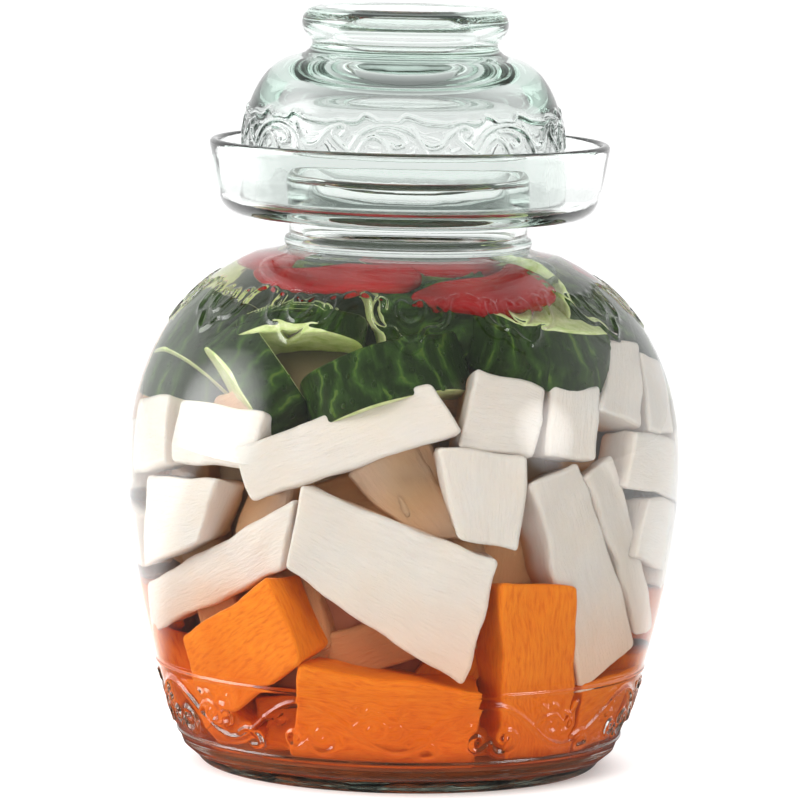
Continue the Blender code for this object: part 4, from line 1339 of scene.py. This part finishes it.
class PICKLEJAR_OT_cucumbers(bpy.types.Operator):
    """Makes the cucumber rounds and the bumps on their skin"""

    bl_idname = "picklejar.cucumbers"
    bl_label = "Cucumber rounds"

    def execute(self, context):
        look = context.scene.vegetables
        cuts = Cuts()
        for number, row in enumerate(layout()[1]):
            cucumber(cuts, row, number + 1.0)
        rounds = cuts.made("cucumber_rounds")
        skin = skin_material(look.skin)
        bumps = linked("cucumber_bumps", rounds.data.copy())
        through_nodes(bumps, bumps_tree(), {
            "Spacing": BUMP_SPACING, "Density": float(look.bumps), "Bump": BUMP_SIZE, "Seed": 4,
            "Material": skin})
        placed(rounds, skin, flesh_material())
        placed(bumps)
        return {"FINISHED"}


class PICKLEJAR_OT_chillies(bpy.types.Operator):
    """Makes the red chillies and their stems"""

    bl_idname = "picklejar.chillies"
    bl_label = "Chillies"

    def execute(self, context):
        look = context.scene.vegetables
        pods, stems = Cuts(), Cuts()
        for number, row in enumerate(layout()[2]):
            chilli(pods, stems, row, number * 1.7)
        placed(pods.made("chilli_pods"), chilli_material(look.chilli))
        placed(stems.made("chilli_stems"), stem_material())
        return {"FINISHED"}


class PICKLEJAR_OT_core(bpy.types.Operator):
    """Makes the shaded middle of the heap"""

    bl_idname = "picklejar.core"
    bl_label = "Heap core"

    def execute(self, context):
        core = turned("heap_core", ((core_outline(), False),), CORE_SIDES, CORE_SIDES)
        for vertex in core.data.vertices:
            way = Vector((vertex.co.x, vertex.co.y, 0))
            if way.length > 1e-6:
                vertex.co += way.normalized() * CORE_BULGE * noise.noise(vertex.co / CORE_BULGE_SIZE)
        placed(core, core_material())
        return {"FINISHED"}


def area_light(name, place, target, size, power):
    """A soft rectangular light that looks at a point, and that glass doesn't mirror or pass."""
    data = bpy.data.lights.new(name, "AREA")
    data.shape = "RECTANGLE"
    data.size, data.size_y = size
    data.energy = power
    lamp = linked(name, data)
    lamp.location = place
    lamp.rotation_euler = (Vector(target) - Vector(place)).to_track_quat("-Z", "Y").to_euler()
    lamp.visible_glossy = False
    lamp.visible_transmission = False
    return lamp


def soft_glow(tree, way, azimuth, elevation, inner, outer, strength):
    """A soft bright patch of the surroundings: degrees from the front to the right, up, and its reach."""
    around, rise = math.radians(azimuth), math.radians(elevation)
    towards = (math.sin(around) * math.cos(rise), -math.cos(around) * math.cos(rise), math.sin(rise))
    near = node(tree, "ShaderNodeVectorMath", {0: way, 1: towards}, operation="DOT_PRODUCT")
    limits = (math.cos(math.radians(outer)), math.cos(math.radians(inner)))
    return share_of(tree, near.outputs["Value"], *limits, 0.0, strength)


def surroundings(glow):
    """White to look at, with the dark room and soft lamps in front that the glass mirrors."""
    world = bpy.data.worlds.new("studio")
    bpy.context.scene.world = world
    world.use_nodes = True
    tree = world.node_tree
    way = node(tree, "ShaderNodeTexCoord").outputs["Generated"]
    sideways, ahead, up = parts_of(tree, way)
    behind = joined(tree, "MULTIPLY_ADD", up, -0.6, ahead)
    mirrored = share_of(tree, behind, -0.30, 0.98, 0.05, 1.0)
    through = share_of(tree, behind, -0.50, 0.98, 0.72, 0.98)
    aside = share_of(tree, joined(tree, "ABSOLUTE", sideways), 0.25, 0.75, 0.0, 0.36)
    through = joined(tree, "SUBTRACT", through, aside)
    for patch in SOFT_PATCHES:
        mirrored = joined(tree, "ADD", mirrored, soft_glow(tree, way, *patch))
    white = joined(tree, "MULTIPLY_ADD", seen_by(tree, "Is Diffuse Ray"), DIFFUSE_LOSS, 1.0)
    seen = mixed(tree, seen_by(tree, "Is Transmission Ray"), white, through)
    within = share_of(tree, seen_by(tree, "Transmission Depth"), 0.0, 1.0)
    inner = share_of(tree, behind, -0.50, 0.98, 0.30, 0.98)
    shade = mixed(tree, seen_by(tree, "Is Glossy Ray"), seen, mixed(tree, within, mirrored, inner))
    background = tree.nodes["Background"]
    tree.links.new(shade, background.inputs["Color"])
    background.inputs["Strength"].default_value = glow


def floor_material():
    """White paper, lit round the jar, that the glass mirrors as dark in front."""
    made, tree, shader = new_material("studio floor", {
        "Roughness": 0.9, "Specular IOR Level": 0.0, "Emission Color": (1, 1, 1, 1)})
    place = place_in(tree)
    ahead = parts_of(tree, place)["Y"]
    lit = joined(tree, "MAXIMUM", share_of(tree, ahead, -0.32, -0.12), seen_by(tree, "Is Camera Ray"))
    clear = share_of(tree, length_of(tree, place), *FLOOR_SHADE)
    stops = ((0.3, (0.90, 0.90, 0.90)), (0.7, (0.92, 0.92, 0.92)))
    coloured(tree, shader, ramp(tree, noise_of(tree, place, 3.0), stops))
    seen = joined(tree, "MULTIPLY_ADD", seen_by(tree, "Is Diffuse Ray"), DIFFUSE_LOSS, 0.70)
    strength = joined(tree, "MULTIPLY", joined(tree, "MULTIPLY", lit, clear), seen)
    tree.links.new(strength, shader.inputs["Emission Strength"])
    dark = joined(tree, "MULTIPLY", seen_by(tree, "Is Glossy Ray"), share_of(tree, ahead, 0.16, 0.04))
    surfaced(tree, dark, shader, node(tree, "ShaderNodeEmission", {"Strength": 0.10}))
    return made


class PICKLEJAR_OT_studio(bpy.types.Operator):
    """Makes the floor, the lights and the camera"""

    bl_idname = "picklejar.studio"
    bl_label = "Studio"

    def execute(self, context):
        scene, look = context.scene, context.scene.studio
        sides = ((-1, -1), (1, -1), (1, 1), (-1, 1))
        corners = [(FLOOR_HALF * x, FLOOR_HALF * y, FLOOR_GAP) for x, y in sides]
        floor = mesh_object("floor", corners, [(0, 1, 2, 3)])
        floor.data.materials.append(floor_material())
        [area_light(*lamp) for lamp in LAMPS]
        surroundings(look.glow)
        camera = linked("camera", bpy.data.cameras.new("camera"))
        camera.data.lens = look.lens
        camera.data.clip_end = FARTHEST
        back = Vector((0, -math.cos(look.elevation), math.sin(look.elevation)))
        camera.location = Vector(CAMERA_TARGET) + back * look.distance
        aim = (-back).to_track_quat("-Z", "Y").to_matrix() @ Matrix.Rotation(look.roll, 3, "Z")
        camera.rotation_euler = aim.to_euler()
        scene.camera = camera
        scene.view_settings.view_transform = "Standard"
        scene.cycles.max_bounces = 18
        scene.cycles.transmission_bounces = 18
        scene.cycles.glossy_bounces = 10
        scene.cycles.transparent_max_bounces = 16
        return {"FINISHED"}


GROUPS = (
    ("jar_glass", JarGlassSettings),
    ("brine", BrineSettings),
    ("vegetables", VegetableSettings),
    ("studio", StudioSettings),
)
OPERATORS = (
    PICKLEJAR_OT_jar,
    PICKLEJAR_OT_lid,
    PICKLEJAR_OT_brine,
    PICKLEJAR_OT_batons,
    PICKLEJAR_OT_cucumbers,
    PICKLEJAR_OT_chillies,
    PICKLEJAR_OT_core,
    PICKLEJAR_OT_studio,
)


class PICKLEJAR_PT_panel(bpy.types.Panel):
    """Lists the jar's pieces and settings."""

    bl_idname = "PICKLEJAR_PT_panel"
    bl_label = "Pickle jar"
    bl_space_type = "VIEW_3D"
    bl_region_type = "UI"
    bl_category = "Pickle jar"

    def draw(self, context):
        for name, group in GROUPS:
            box = self.layout.box()
            for prop in group.__annotations__:
                box.prop(getattr(context.scene, name), prop)
        for operator in OPERATORS:
            self.layout.operator(operator.bl_idname)


def register():
    """Adds the settings, the operators and the panel."""
    for name, group in GROUPS:
        bpy.utils.register_class(group)
        setattr(bpy.types.Scene, name, PointerProperty(type=group))
    for operator in OPERATORS:
        bpy.utils.register_class(operator)
    bpy.utils.register_class(PICKLEJAR_PT_panel)


def unregister():
    """Takes them away again."""
    bpy.utils.unregister_class(PICKLEJAR_PT_panel)
    for operator in OPERATORS:
        bpy.utils.unregister_class(operator)
    for name, group in GROUPS:
        delattr(bpy.types.Scene, name)
        bpy.utils.unregister_class(group)


def main():
    """Builds the jar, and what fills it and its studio."""
    register()
    bpy.ops.picklejar.jar()
    bpy.ops.picklejar.lid()
    bpy.ops.picklejar.brine()
    bpy.ops.picklejar.batons()
    bpy.ops.picklejar.cucumbers()
    bpy.ops.picklejar.chillies()
    bpy.ops.picklejar.core()
    bpy.ops.picklejar.studio()


if __name__ == "__main__":
    main()
